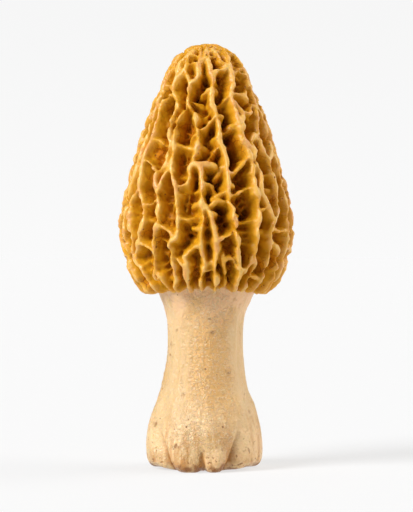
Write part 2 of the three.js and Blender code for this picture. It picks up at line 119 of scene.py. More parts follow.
FRONT_RIBS: tuple[Rib, ...] = (
    Rib(RibKind.MAIN, (
        (-60, 98), (-68, 94.5), (-66, 90), (-66, 84), (-64, 79), (-67, 74), (-68, 68), (-70, 62),
        (-70, 55), (-71, 49), (-68, 44), (-67, 42)
    )),
    Rib(RibKind.MAIN, (
        (-54, 86.2), (-57, 85.4), (-58, 84.6), (-54.8, 82.5), (-54, 80), (-53.2, 78.8), (-55, 77.5),
        (-58, 74.7), (-60, 72.8), (-58.4, 70.3), (-56.8, 68), (-55.3, 65.6)
    )),
    Rib(RibKind.MAIN, (
        (-55.3, 65.6), (-58.8, 64.5), (-62.8, 63), (-62.5, 61), (-63.4, 59.6), (-62, 57.7), (-59.2, 56),
        (-57.8, 55), (-58.6, 53), (-60.6, 51), (-60.4, 49.5), (-59, 48.2), (-54, 46.2), (-52.6, 44),
        (-50.5, 42.4)
    )),
    Rib(RibKind.MAIN, (
        (-55.3, 65.6), (-51.6, 63.8), (-49.2, 63), (-47.3, 61.2), (-46, 59), (-47, 57), (-49.4, 55),
        (-50.4, 53)
    )),
    Rib(RibKind.MAIN, ((-50.4, 53), (-52, 53.2), (-54, 51.7), (-58, 50), (-60.4, 49.5))),
    Rib(RibKind.MAIN, (
        (-30, 98.3), (-40, 97), (-47, 95.5), (-45.2, 92.7), (-45.2, 90.7), (-43.6, 89.3), (-40, 87.7),
        (-37.2, 87.3), (-34, 85.8), (-32.8, 84.6), (-34, 83.5), (-35.6, 81.5), (-34.4, 80), (-32.8, 78),
        (-31.6, 76), (-31.8, 74), (-33.8, 71), (-35.6, 70.3), (-39, 69.6), (-39.6, 67.5), (-38, 66),
        (-35, 63.5), (-34.3, 60.5), (-33.9, 58.2), (-36.2, 56), (-38.2, 54), (-38, 52.5), (-38.6, 50),
        (-40.2, 47), (-40.3, 45.8), (-38, 44.7), (-36.4, 43.6), (-34.3, 42)
    )),
    Rib(RibKind.MAIN, ((-40.3, 46.8), (-42.2, 46), (-43.2, 45.2), (-42.2, 44))),
    Rib(RibKind.MAIN, (
        (-21, 85.2), (-24, 83.3), (-27.6, 81.6), (-29.5, 79.7), (-28.3, 77.7), (-27.6, 75), (-28, 72),
        (-28.6, 70.8), (-30.4, 69.6), (-32.4, 68.7), (-34.4, 67), (-35.4, 64.6)
    )),
    Rib(RibKind.MAIN, (
        (-28.6, 70.8), (-26.8, 69.3), (-24, 67.7), (-21.6, 66), (-20.6, 64.1), (-21, 62.2), (-19.6, 60),
        (-18.6, 58), (-18.6, 55.4), (-21, 53.8), (-24, 53.2), (-25.2, 52), (-24.2, 50), (-24, 46),
        (-24.6, 44), (-27.2, 42)
    )),
    Rib(RibKind.MAIN, ((-20, 48.8), (-16.8, 47.3), (-14.8, 46), (-14.6, 44.5), (-15, 42))),
    Rib(RibKind.MAIN, (
        (-1, 99.2), (-2.5, 97.6), (-3.4, 96.4), (-8, 95.8), (-10.8, 95.3), (-12.4, 93.6), (-13.4, 92),
        (-15.6, 91.1), (-20, 90.6), (-21.4, 89.5), (-21, 87.3), (-20, 85.4), (-16, 84.2), (-12, 83),
        (-9.2, 81.3), (-8.6, 80), (-7.3, 78), (-8, 76), (-8.8, 74), (-10.3, 72.6), (-9.2, 71.2),
        (-6, 70.7), (-4.4, 69.8), (-2.8, 67.6), (-2.4, 66.4), (-3, 64.2), (-2.8, 62.2), (-2.2, 60),
        (-2, 58.6), (-3.2, 56.2), (-4.1, 53.5), (-3.6, 51.3), (-2, 49.7), (-1.2, 47.6), (-2.4, 45.6),
        (-3.6, 44.6), (-4.6, 42)
    )),
    Rib(RibKind.MAIN, ((-4, 52.6), (-8.4, 51.8), (-13.2, 50.3), (-15, 49.4), (-14.4, 48), (-16.8, 47.3))),
    Rib(RibKind.MAIN, (
        (-9.8, 71.6), (-12.2, 70.4), (-12.6, 69.2), (-11.8, 68.2), (-14, 66.7), (-18.8, 66.3),
        (-21.4, 66.2)
    )),
    Rib(RibKind.MAIN, (
        (-2.4, 61.6), (1.2, 60.5), (3.3, 58.8), (4, 57.4), (5.4, 56), (6.6, 53.6), (7.1, 50.8),
        (6.6, 48), (5.9, 46.6), (6.6, 45.2), (8, 43.2), (8, 42)
    )),
    Rib(RibKind.MAIN, (
        (1, 99.2), (2, 97.6), (3, 96), (4.4, 93.6), (6, 92.7), (8, 91.7), (9.2, 90.7), (7.6, 89),
        (6, 87), (5.9, 85.2), (7, 84), (9.7, 82), (10.9, 80), (11, 78.4), (12, 76), (14.7, 74),
        (15.6, 73), (15.6, 69.3), (15.8, 67.6), (15.2, 65.7), (15.5, 64.2), (17.2, 62), (18.4, 59),
        (19.6, 56.4), (21.6, 53.5), (22, 50.4), (23.1, 48.4), (25, 46.8), (26, 45.4), (26, 43.6),
        (26.2, 42)
    )),
    Rib(RibKind.MAIN, (
        (52, 98.2), (42, 96.2), (39.7, 94.6), (37.4, 91.8), (33.5, 89.2), (29.4, 88), (29.6, 87),
        (30.4, 84.5), (32, 81), (32.2, 77.6), (33.8, 76), (36.6, 73.4), (38.4, 71), (37.2, 69),
        (36.4, 66.4), (37.6, 64.4), (38.9, 62.6), (37.8, 60.5), (35.6, 57.4), (35.4, 55.4), (36.4, 53),
        (35.2, 50), (37.5, 47.9), (36.6, 46.4), (34.8, 44.6), (34.4, 42)
    )),
    Rib(RibKind.WEB, ((14, 99), (27, 96), (38, 93))),
    Rib(RibKind.MAIN, (
        (29.8, 86.8), (34, 85.1), (38.4, 83.6), (36, 81.5), (34.8, 79.4), (35, 77), (38.6, 75.4), (42, 75)
    )),
    Rib(RibKind.MAIN, (
        (54.2, 78.4), (48, 77.8), (45.2, 77.8), (42.6, 76.4), (42.2, 74.4), (41.5, 72.7), (43, 70.8),
        (44.5, 69), (42.4, 67), (41.9, 65), (43.7, 63), (46, 61.2), (50.3, 58.6)
    )),
    Rib(RibKind.MAIN, (
        (84, 98.4), (76, 93), (67, 86.4), (63, 84.5), (57, 81.2), (54.2, 78.8), (53.7, 76.2),
        (55.4, 73.9), (59.8, 72.4), (58.6, 70.3), (57.7, 69.2), (59.3, 67), (57.2, 65), (56.8, 63),
        (57.6, 61.8), (54.6, 59.8), (50.3, 57.8), (47.6, 55.6), (47, 54), (48.2, 52), (48.6, 50.6),
        (47.8, 48.7), (48.3, 46.6), (47.4, 44.6), (46, 42)
    )),
    Rib(RibKind.MAIN, (
        (47.2, 53.8), (51, 53), (55.4, 51.8), (60, 50.6), (63, 48.3), (64.4, 46.2), (64, 44.6), (62, 42)
    )),
    Rib(RibKind.MAIN, (
        (66, 86.2), (69, 82), (71, 79), (69, 76), (71, 72.6), (72, 70), (70, 66), (71, 61), (70, 56),
        (69, 52), (70, 47), (68, 42)
    )),
    Rib(RibKind.MAIN, ((59.8, 72.4), (64, 73.7), (70, 75.4))),
    Rib(RibKind.WEB, ((-35.6, 97.4), (-34, 95.2), (-30, 93), (-25.6, 91.2), (-21.5, 90)), (0, 0.3, 0)),
    Rib(RibKind.WEB, ((-52, 93.8), (-45.2, 92.4), (-40.4, 92.2), (-33.5, 93.8))),
    Rib(RibKind.WEB, ((-10.8, 95.4), (-16, 96.6), (-24, 97.2), (-34, 97.4)), (0, 0.3, 0)),
    Rib(RibKind.WEB, ((-3, 96.5), (0, 96.2), (3, 96))),
    Rib(RibKind.WEB, ((3, 96), (13, 97), (26, 95)), (0, 0.3, 0)),
    Rib(RibKind.WEB, ((-15, 99), (-11, 96)), (0.2, 0, 0)),
    Rib(RibKind.WEB, ((5, 98), (26, 98.5), (50, 97.5)), (0.2, 0, 0.2)),
    Rib(RibKind.WEB, ((-12, 95), (-22, 95.5), (-34, 95)), (0, 0.5, 0)),
    Rib(RibKind.WEB, ((8, 92), (12, 93), (18, 93.4), (24, 93.6), (29.5, 94))),
    Rib(RibKind.WEB, ((-66, 86), (-60, 85.2), (-54, 86.2), (-48.4, 87.5), (-40, 87.7))),
    Rib(RibKind.WEB, ((-66, 90), (-58, 90.4), (-50, 90), (-45.4, 90.4)), (0.3, 0.6, 0.3)),
    Rib(RibKind.WEB, ((-55, 77.4), (-47.6, 77), (-41.2, 76.3), (-32, 75.2)), (0, 0.9, 0)),
    Rib(RibKind.WEB, ((-59.6, 72.6), (-50.8, 71.8), (-46, 70.8), (-39.4, 69.6)), (0, 0.2, 0)),
    Rib(RibKind.WEB, ((-47.8, 62.2), (-43.6, 62.2), (-34.8, 63)), (0, 0.4, 0)),
    Rib(RibKind.WEB, ((-46, 58.8), (-38, 58), (-34, 58.2)), (1, 2, 1)),
    Rib(RibKind.WEB, ((-50.4, 53), (-46, 52.3), (-40.4, 51.3), (-38.4, 50.7)), (0, 0.4, 0)),
    Rib(RibKind.WEB, ((-34.6, 57.2), (-31, 56.6), (-27.5, 55.8), (-20.4, 54)), (0, 0.7, 0)),
    Rib(RibKind.WEB, ((-27.7, 76), (-18, 75.3), (-8.6, 74.6)), (0.3, 1.2, 0.3)),
    Rib(RibKind.WEB, ((-25, 68.6), (-18.5, 68.7), (-12.8, 67.8)), (1.2, 2.4, 1.2)),
    Rib(RibKind.WEB, ((-18.8, 58.6), (-14, 58.4), (-8, 58.7), (-2.2, 59.2)), (0.3, 1.2, 0.3)),
    Rib(RibKind.WEB, ((6.6, 53.6), (12.8, 54.3), (15.2, 54.8), (19.6, 56.6)), (0, 0.2, 0)),
    Rib(RibKind.WEB, ((-8.3, 79.4), (-2.4, 79.4), (2, 80.7), (8.8, 82.6)), (0, 0.1, 0)),
    Rib(RibKind.WEB, ((-20, 86.4), (-12, 85.8), (-4, 85.3), (1, 85.4)), (0.5, 1.6, 2.8)),
    Rib(RibKind.WEB, ((-13, 83.3), (-4.8, 82), (0.5, 81.2)), (0.5, 1.9, 2.6)),
    Rib(RibKind.WEB, ((6, 85.2), (14.8, 85.8), (23.2, 86.7), (29.6, 87.4)), (1.8, 1.5, 0)),
    Rib(RibKind.WEB, ((11, 78.2), (17, 78.7), (25, 80), (32, 81.2)), (2.4, 1.6, 0)),
    Rib(RibKind.WEB, (
        (15.6, 69.2), (20, 69.2), (23.5, 69.8), (28, 71.2), (32, 72.4), (37, 72.9)
    ), (0, 0.1, 0)),
    Rib(RibKind.WEB, ((15.5, 64), (22.4, 64.5), (28, 65.4), (36.4, 66.2)), (0.3, 0.6, 0.2)),
    Rib(RibKind.WEB, ((18.6, 57.5), (26, 57.8), (33.2, 58.3), (36.4, 59)), (2.4, 1.8, 0.4)),
    Rib(RibKind.WEB, ((22, 55.3), (29, 55.5), (35.4, 55.8)), (2.6, 3.2, 2.6)),
    Rib(RibKind.WEB, ((22, 52), (29, 52.3), (36, 52)), (2.6, 3.2, 2.6)),
    Rib(RibKind.WEB, ((24.6, 47), (27.2, 46.6), (30.8, 47.2), (35.2, 49.3)), (0, 0.3, 0)),
    Rib(RibKind.WEB, ((30.6, 47.2), (28.6, 45), (27, 42)), (0.2, 0.4, 0.3)),
    Rib(RibKind.WEB, (
        (10.8, 50.2), (13, 48.6), (16, 49.2), (18.4, 49), (20.8, 47.8), (24, 46.6)
    ), (0.6, 0.6, 0.2)),
    Rib(RibKind.WEB, ((12.2, 48.8), (13.4, 46.4), (15, 44.2), (16, 42)), (0.6, 1, 0.8)),
    Rib(RibKind.WEB, ((-1.4, 48), (2.6, 48.3), (6.4, 48)), (0.4, 0.9, 0.4)),
    Rib(RibKind.WEB, ((-2.2, 45.9), (2, 46.2), (6, 46)), (0.3, 0.6, 0.3)),
    Rib(RibKind.WEB, ((35, 45), (40.4, 44.2), (47, 44)), (0.2, 0.4, 0.2)),
    Rib(RibKind.WEB, ((38, 60.8), (41.5, 60.9), (46, 61.2)), (0.2, 0.3, 0.2)),
    Rib(RibKind.WEB, ((35.4, 55.3), (41, 55.3), (47.2, 55.2)), (1.4, 2.6, 1.4)),
    Rib(RibKind.WEB, ((44.4, 69), (50, 69.1), (57.8, 69.3)), (0.6, 1.8, 0.6)),
    Rib(RibKind.WEB, ((42.4, 66), (50, 65.7), (57.6, 65.6)), (1, 2.2, 1)),
    Rib(RibKind.WEB, ((48.4, 56.2), (58, 55.8), (70, 56)), (0.3, 1.2, 0.3)),
    Rib(RibKind.WEB, ((29.6, 87.8), (38, 87.8), (46, 87.6), (51, 87.7)), (0.2, 1, 0.3)),
    Rib(RibKind.WEB, ((51, 87.7), (55.4, 88.8), (62, 89.8), (72, 91)), (0.3, 0, 0)),
    Rib(RibKind.WEB, ((51, 87.7), (53.6, 86.2), (58, 85.4), (63, 84.6)), (0.3, 0, 0)),
    Rib(RibKind.WEB, ((38.4, 83.6), (45.2, 83.4), (51, 83.8), (57, 85.4)), (0, 0.3, 0)),
    Rib(RibKind.WEB, ((39, 93.4), (50.7, 93.3), (58, 93.8), (72, 92.6)), (0.3, 1, 0.3)),
    Rib(RibKind.WEB, ((-66, 81), (-60, 80.2), (-54.4, 81)), (0.4, 1.2, 0.4)),
    Rib(RibKind.WEB, ((-59.6, 72.8), (-63, 71.6), (-67.6, 71)), (0.3, 0.7, 0.3)),
    Rib(RibKind.WEB, ((-62.8, 62.8), (-66, 62), (-70, 61.6)), (0.3, 0.7, 0.3)),
    Rib(RibKind.WEB, ((-60.4, 49.5), (-65, 50.6), (-70.8, 50)), (0.3, 0.7, 0.3)),
    Rib(RibKind.WEB, ((-24.3, 49.8), (-20, 48.8), (-17, 47.6)), (0.3, 0.3, 0.3)),
    Rib(RibKind.STUB, ((-8, 77.8), (-10.5, 78), (-13.3, 77.6)), (0.2, 0.6, 1.4)),
    Rib(RibKind.STUB, ((-2.8, 65), (-4.6, 65), (-6.2, 64.7)), (0.3, 0.8, 1.6)),
    Rib(RibKind.STUB, ((-2.8, 62.2), (-6, 62), (-9, 61.4)), (0.2, 0.6, 1.6)),
    Rib(RibKind.STUB, ((-3.2, 56.3), (-6, 56), (-8.8, 55.8)), (0.2, 0.6, 1.6)),
    Rib(RibKind.STUB, ((-4.1, 53.2), (-6.5, 53), (-8.6, 52.8)), (0.8, 1.6, 2.2)),
    Rib(RibKind.STUB, ((-7.8, 76.2), (-3, 75.6), (1, 74.8)), (0.8, 1.6, 2.2)),
    Rib(RibKind.STUB, ((-9, 71.3), (-2, 71.1), (2, 71), (5.6, 70.6)), (0, 0.1, 0.6)),
    Rib(RibKind.STUB, ((-2.4, 66.8), (2.5, 66.4), (6, 65.2)), (0.4, 1, 1.8)),
    Rib(RibKind.STUB, ((7.4, 89), (1, 88.8), (-5.2, 87.8)), (0, 0.3, 0.9)),
    Rib(RibKind.STUB, ((6.4, 84.4), (3.6, 83.6), (0.4, 82.7)), (0.6, 1.4, 2.2)),
    Rib(RibKind.STUB, ((11, 78.2), (7.6, 77.6), (4.5, 76.8)), (1.2, 2, 2.8)),
    Rib(RibKind.STUB, ((12.6, 75.6), (8, 74.8), (4.6, 73.9), (1.6, 72.8)), (0.3, 1, 2)),
    Rib(RibKind.STUB, ((15.5, 71.2), (11.2, 70.2), (6, 68.2)), (0.4, 1.6, 2.8)),
    Rib(RibKind.STUB, ((15.4, 65.2), (10.6, 64.4), (7.6, 63.8), (4.8, 63.1)), (0.4, 0.8, 1.6)),
    Rib(RibKind.STUB, ((17.2, 62), (13.6, 62.8), (9.6, 62.9), (6.6, 62.6), (4.2, 61.8)), (0.2, 0.3, 0.6)),
    Rib(RibKind.STUB, ((9, 90.2), (11.4, 89.4), (14, 88.6)), (0.3, 0.8, 1.4)),
    Rib(RibKind.STUB, ((9.5, 82.4), (13, 82.8), (16.6, 82.5)), (0, 0.2, 0.8)),
    Rib(RibKind.STUB, ((15, 73.8), (17.4, 73.7), (19.6, 73.3)), (0.2, 0.8, 1.4)),
    Rib(RibKind.STUB, ((15.4, 66.6), (17.6, 66.6), (19.5, 66.3)), (0.2, 0.5, 1.2)),
    Rib(RibKind.STUB, ((18, 60.4), (20.2, 60), (22, 59.5)), (0.3, 0.8, 1.4)),
    Rib(RibKind.STUB, ((2.8, 59.6), (5, 59.8), (7, 59.5)), (0.1, 0.3, 1)),
    Rib(RibKind.STUB, ((-20.8, 62), (-22.6, 61.8), (-24, 61.2)), (0.1, 0.3, 1)),
    Rib(RibKind.STUB, ((-63.4, 59.6), (-66, 58.3)), (0.1, 0.3, 1)),
    Rib(RibKind.STUB, ((-20.6, 64), (-19, 64.2), (-17.2, 63.8)), (0.2, 0.6, 1.2)),
)


# A main rib stands in each gap between the front of the cap and its back, with webs on both sides of it and
# others in arcs round the crown.
SIDE_RIBS: tuple[Rib, ...] = (
    Rib(RibKind.MAIN, (
        (96, 98), (88, 94), (92, 89), (84, 84), (89, 78), (95, 72), (88, 66), (82, 61), (88, 55), (95, 50),
        (90, 46), (91, 42)
    )),
    Rib(RibKind.MAIN, (
        (-98, 98), (-90, 95), (-82, 89), (-88, 83), (-93, 77), (-85, 71), (-79, 66), (-86, 60), (-93, 54),
        (-85, 49), (-81, 46), (-84, 42)
    )),
    Rib(RibKind.WEB, ((48, 97.7), (66, 98), (84, 98.4), (108, 98.2), (140, 98.4)), (0, 0.1, 0)),
    Rib(RibKind.WEB, ((58, 93.8), (74, 94.4), (88, 94), (104, 94.6)), (0, 0.2, 0)),
    Rib(RibKind.WEB, ((84, 98.4), (88, 99.2), (84, 100.1))),
    Rib(RibKind.WEB, ((52, 98.2), (58, 99), (52, 100))),
    Rib(RibKind.WEB, ((20, 99.2), (44, 99.3), (66, 99.5), (90, 99.2), (120, 99.4)), (0, 0.1, 0)),
    Rib(RibKind.WEB, ((-60, 98), (-56, 99), (-60, 100))),
    Rib(RibKind.WEB, ((-98, 98.4), (-92, 99.2), (-98, 100.1))),
    Rib(RibKind.WEB, ((-20, 99.3), (-44, 99.2), (-70, 99.4), (-98, 99.2), (-130, 99.4)), (0, 0.1, 0)),
    Rib(RibKind.WEB, ((-32, 98.5), (-46, 98), (-64, 97.8), (-96, 98.4), (-130, 98.4)), (0, 0.1, 0)),
    Rib(RibKind.WEB, ((-47, 95.4), (-56, 94.4), (-67, 94.6), (-90, 94.6), (-104, 94)), (0, 0.2, 0)),
    Rib(RibKind.WEB, ((69, 84), (76, 81), (87, 80)), (0, 0.8, 0)),
    Rib(RibKind.WEB, ((71, 71), (80, 75), (94, 73)), (0, 1.0, 0)),
    Rib(RibKind.WEB, ((71, 62), (77, 66), (87, 65)), (0, 0.6, 0)),
    Rib(RibKind.WEB, ((69, 54), (80, 52), (94, 51)), (0, 0.9, 0)),
    Rib(RibKind.WEB, ((69, 45), (78, 48), (91, 47)), (0, 0.6, 0)),
    Rib(RibKind.WEB, ((92, 90), (99, 92), (108, 90)), (0, 0.6, 0)),
    Rib(RibKind.WEB, ((85, 83), (95, 86), (106, 84)), (0, 0.7, 0)),
    Rib(RibKind.WEB, ((95, 73), (99, 70), (105, 71)), (0, 0.8, 0)),
    Rib(RibKind.WEB, ((83, 60), (94, 58), (106, 62)), (0, 0.6, 0)),
    Rib(RibKind.WEB, ((94, 49), (100, 46), (107, 48)), (0, 0.6, 0)),
    Rib(RibKind.WEB, ((-66, 85), (-74, 87), (-83, 86)), (0, 0.7, 0)),
    Rib(RibKind.WEB, ((-67, 74), (-78, 77), (-92, 76)), (0, 0.6, 0)),
    Rib(RibKind.WEB, ((-69, 66), (-74, 63), (-81, 65)), (0, 0.8, 0)),
    Rib(RibKind.WEB, ((-70, 56), (-80, 54), (-92, 55)), (0, 0.5, 0)),
    Rib(RibKind.WEB, ((-70, 47), (-77, 50), (-86, 50)), (0, 0.8, 0)),
    Rib(RibKind.WEB, ((-84, 90), (-92, 87), (-102, 89)), (0, 0.7, 0)),
    Rib(RibKind.WEB, ((-92, 79), (-98, 81), (-104, 79)), (0, 0.6, 0)),
    Rib(RibKind.WEB, ((-80, 67), (-92, 69), (-103, 67)), (0, 0.7, 0)),
    Rib(RibKind.WEB, ((-89, 58), (-96, 61), (-104, 60)), (0, 0.7, 0)),
    Rib(RibKind.WEB, ((-85, 48), (-95, 51), (-105, 50)), (0, 0.6, 0)),
)


@dataclass(frozen=True)
class Fold:
    """A crease between two lobes of the foot or, with a depth under zero, a lobe that stands proud.

    With a depth of zero it only lifts the foot's edge. It lies at its azimuth on the floor, leans by its
    slant in degrees for each millimetre, and dies out at its top. The lift is how far the foot's edge stands
    off the floor there. A skew makes the side of greater azimuth steeper and the other side flatter, as where
    one lobe laps over the next; a skew under zero does the reverse.
    """

    azimuth: float
    depth: float
    top: float
    half_width: float
    slant: float = 0.0
    lift: float = 0.0
    skew: float = 0.0


@dataclass(frozen=True)
class Flute:
    """A broad wave round the stem."""

    waves: int
    height: float
    phase: float
    twist: float


def metres(span: Span) -> Span:
    """Turns a pair of millimetres into metres."""
    return span[0] * MM, span[1] * MM


def smooth(value: np.ndarray, low: float, high: float) -> np.ndarray:
    """Eases from 0 at low to 1 at high.

    Args:
        value: The numbers to ease.
        low: Where the result leaves 0.
        high: Where the result reaches 1.

    Returns:
        An array of the same shape.
    """
    share = np.clip((value - low) / (high - low), 0.0, 1.0)
    return share * share * (3.0 - 2.0 * share)


def spline(points: np.ndarray, per_span: int) -> np.ndarray:
    """Runs a Catmull-Rom curve through points.

    Args:
        points: One row for each point.
        per_span: Steps between two neighbours.

    Returns:
        The points of the curve, both ends included.
    """
    padded = np.vstack([2 * points[0] - points[1], points, 2 * points[-1] - points[-2]])
    steps = np.linspace(0.0, 1.0, per_span, endpoint=False)[:, None]
    spans = []
    for a, b, c, d in zip(padded, padded[1:], padded[2:], padded[3:]):
        square = 2 * a - 5 * b + 4 * c - d
        cubic = -a + 3 * b - 3 * c + d
        spans.append(0.5 * (2 * b + (c - a) * steps + square * steps**2 + cubic * steps**3))
    return np.vstack([*spans, points[-1:]])


def evenly(curve: np.ndarray, step: float) -> tuple[np.ndarray, np.ndarray]:
    """Lays points along a curve at an even spacing.

    Args:
        curve: A fine polyline.
        step: The spacing wanted.

    Returns:
        The points, and the share of the curve's length at each.
    """
    lengths = np.concatenate([[0.0], np.cumsum(np.linalg.norm(np.diff(curve, axis=0), axis=1))])
    count = max(2, int(math.ceil(lengths[-1] / step)) + 1)
    wanted = np.linspace(0.0, lengths[-1], count)
    points = np.stack([np.interp(wanted, lengths, column) for column in curve.T], axis=1)
    return points, wanted / lengths[-1]


@dataclass
class Outline:
    """A profile of the turned body, as radius and height in millimetres."""

    knots: tuple[Point, ...]
    step: float
    per_span: int = 24

    def __post_init__(self) -> None:
        """Lays out the even points, their shares of the length and their normals."""
        self.points, self.shares = evenly(spline(np.array(self.knots, float), self.per_span), self.step)
        along = np.gradient(self.points, axis=0)
        along /= np.linalg.norm(along, axis=1, keepdims=True)
        self.outward = np.stack([-along[:, 1], along[:, 0]], axis=1)
        self.lowest = int(np.argmin(self.points[:, 1]))

    def share_at(self, height: np.ndarray) -> np.ndarray:
        """Gives the share of the length at heights above the lowest ring."""
        upper = slice(self.lowest, None, -1)
        return np.interp(height, self.points[upper, 1], self.shares[upper])

    def at(self, share: np.ndarray) -> tuple[np.ndarray, np.ndarray]:
        """Gives radius and height at shares of the length."""
        radii, heights = self.points.T
        return np.interp(share, self.shares, radii), np.interp(share, self.shares, heights)


def around(azimuth: np.ndarray, radius: np.ndarray, height: np.ndarray) -> np.ndarray:
    """Turns azimuth in degrees, radius and height into points.

    Args:
        azimuth: Degrees from -Y towards +X.
        radius: Millimetres from the axis.
        height: Millimetres over the foot.

    Returns:
        An array of points with a last axis of three.
    """
    turn = np.radians(azimuth)
    return np.stack([radius * np.sin(turn), -radius * np.cos(turn), height + 0.0 * turn], axis=-1)


def mesh_object(name: str, points: np.ndarray, edges: list, faces: list) -> bpy.types.Object:
    """Makes an object from points in millimetres and links it to the scene.

    Args:
        name: The object's name.
        points: One row for each vertex.
        edges: Pairs of vertex numbers, or an empty list.
        faces: Lists of vertex numbers, or an empty list.

    Returns:
        The new object, at the origin.
    """
    mesh = bpy.data.meshes.new(name)
    mesh.from_pydata((points * MM).tolist(), edges, faces)
    made = bpy.data.objects.new(name, mesh)
    bpy.context.scene.collection.objects.link(made)
    return made


def store(target: bpy.types.Object, name: str, values: np.ndarray) -> None:
    """Writes a number or a vector on every vertex of an object, as a named attribute."""
    if values.ndim == 1:
        layer = target.data.attributes.new(name, "FLOAT", "POINT")
        layer.data.foreach_set("value", values.astype(np.float32))
    else:
        layer = target.data.attributes.new(name, "FLOAT_VECTOR", "POINT")
        layer.data.foreach_set("vector", values.astype(np.float32).ravel())


class Sketch:
    """Adds nodes to a tree and links them, for shapes and finishes alike."""

    def __init__(self, tree: bpy.types.NodeTree) -> None:
        """Starts on a tree."""
        self.tree = tree
        self.count = 0

    def feed(self, socket: bpy.types.NodeSocket, value: object) -> None:
        """Links a socket to an output, or sets its own value."""
        if isinstance(value, bpy.types.NodeSocket):
            self.tree.links.new(value, socket)
        else:
            socket.default_value = value

    def add(self, kind: str, inputs: dict | None = None, **settings: object) -> bpy.types.Node:
        """Adds a node.

        Args:
            kind: The node's type name.
            inputs: Values or outputs for its sockets, by name or number.
            **settings: Properties of the node itself.

        Returns:
            The node.
        """
        node = self.tree.nodes.new(kind)
        node.location = (180 * (self.count // 6), -160 * (self.count % 6))
        self.count += 1
        for key, value in settings.items():
            setattr(node, key, value)
        for key, value in (inputs or {}).items():
            self.feed(node.inputs[key], value)
        return node

    def math(self, operation: str, *values: object, clamp: bool = False) -> bpy.types.NodeSocket:
        """Adds a Math node and gives its output."""
        node = self.add("ShaderNodeMath", dict(enumerate(values)), operation=operation, use_clamp=clamp)
        return node.outputs[0]

    def vector(self, operation: str, *values: object) -> bpy.types.NodeSocket:
        """Adds a Vector Math node and gives its vector output."""
        return self.add("ShaderNodeVectorMath", dict(enumerate(values)), operation=operation).outputs[0]

    def scaled(self, vector: object, factor: object) -> bpy.types.NodeSocket:
        """Multiplies a vector by a number."""
        return self.add("ShaderNodeVectorMath", {0: vector, "Scale": factor}, operation="SCALE").outputs[0]

    def centred(self, noise: object) -> bpy.types.NodeSocket:
        """Shifts a noise so that it swings about zero."""
        return self.math("SUBTRACT", noise, NOISE_MIDDLE)

    def ramp(
        self, value: object, low: float, high: float, start: object = 0.0, end: object = 1.0
    ) -> bpy.types.NodeSocket:
        """Eases a value from start at low to end at high."""
        inputs = {"Value": value, "From Min": low, "From Max": high, "To Min": start, "To Max": end}
        return self.add("ShaderNodeMapRange", inputs, interpolation_type="SMOOTHSTEP").outputs[0]

    def noise(self, position: object, scale: float, detail: float = 2.0, **more: object) -> bpy.types.Node:
        """Adds a Noise Texture over a position, with a scale in features per metre."""
        inputs = {"Vector": position, "Scale": scale, "Detail": detail, **more}
        return self.add("ShaderNodeTexNoise", inputs)


class ShapeTree(Sketch):
    """A Geometry Nodes tree with named inputs, and the modifier that runs it."""

    SEED = 0.0

    def __init__(self, name: str, inputs: dict[str, object]) -> None:
        """Makes the tree, its geometry sockets and its named inputs.

        Args:
            name: The tree's name.
            inputs: A value for each named input; an object makes an object socket.
        """
        super().__init__(bpy.data.node_groups.new(name, "GeometryNodeTree"))
        self.values = inputs | {"Seed": self.SEED}
        face = self.tree.interface
        face.new_socket("Geometry", in_out="INPUT", socket_type="NodeSocketGeometry")
        face.new_socket("Geometry", in_out="OUTPUT", socket_type="NodeSocketGeometry")
        kinds = {float: "NodeSocketFloat", int: "NodeSocketInt", bpy.types.Object: "NodeSocketObject"}
        kinds[bpy.types.Material] = "NodeSocketMaterial"
        for label, value in self.values.items():
            face.new_socket(label, in_out="INPUT", socket_type=kinds[type(value)])
        self.given = self.add("NodeGroupInput").outputs

    def seeded(self, position: object) -> bpy.types.NodeSocket:
        """Shifts a position by the seed, so that another seed gives another mushroom."""
        return self.vector("ADD", position, self.given["Seed"])

    def noise(self, position: object, scale: float, detail: float = 2.0, **more: object) -> bpy.types.Node:
        """Adds a Noise Texture that follows the seed."""
        return super().noise(self.seeded(position), scale, detail, **more)

    def geometry_of(self, label: str) -> bpy.types.NodeSocket:
        """Gives the geometry of the object in a named input."""
        return self.add("GeometryNodeObjectInfo", {"Object": self.given[label]}).outputs["Geometry"]

    def attribute(self, name: str, kind: str = "FLOAT") -> bpy.types.NodeSocket:
        """Reads a named attribute."""
        node = self.add("GeometryNodeInputNamedAttribute", {"Name": name}, data_type=kind)
        return node.outputs["Attribute"]

    def close(self, geometry: bpy.types.NodeSocket) -> None:
        """Ends the tree on a geometry."""
        self.add("NodeGroupOutput", {"Geometry": geometry})

    def run_on(self, target: bpy.types.Object) -> None:
        """Adds the modifier to an object, with its inputs set by identifier."""
        modifier = target.modifiers.new(self.tree.name, "NODES")
        modifier.node_group = self.tree
        for item in self.tree.interface.items_tree:
            if item.in_out == "INPUT" and item.name in self.values:
                modifier[item.identifier] = self.values[item.name]


def settled(target: bpy.types.Object, name: str) -> bpy.types.Object:
    """Turns an object and its modifiers into a plain mesh and removes the object.

    Args:
        target: The object with modifiers.
        name: The name for the plain one.

    Returns:
        The plain object, at the origin.
    """
    graph = bpy.context.evaluated_depsgraph_get()
    mesh = bpy.data.meshes.new_from_object(target.evaluated_get(graph), depsgraph=graph)
    target.modifiers.clear()
    bpy.data.objects.remove(target)
    mesh.name = name
    made = bpy.data.objects.new(name, mesh)
    bpy.context.scene.collection.objects.link(made)
    return made


@dataclass
class Rim:
    """The edge of the cap, which stands higher at the front and the back than at the sides."""

    lift: float = 0.7
    start: float = 0.80
    full: float = 0.95

    def rise(self, azimuth: np.ndarray, share: np.ndarray) -> np.ndarray:
        """Gives how far the cap is raised at azimuths and shares of its outline."""
        return self.lift * np.cos(np.radians(azimuth)) ** 2 * smooth(share, self.start, self.full)


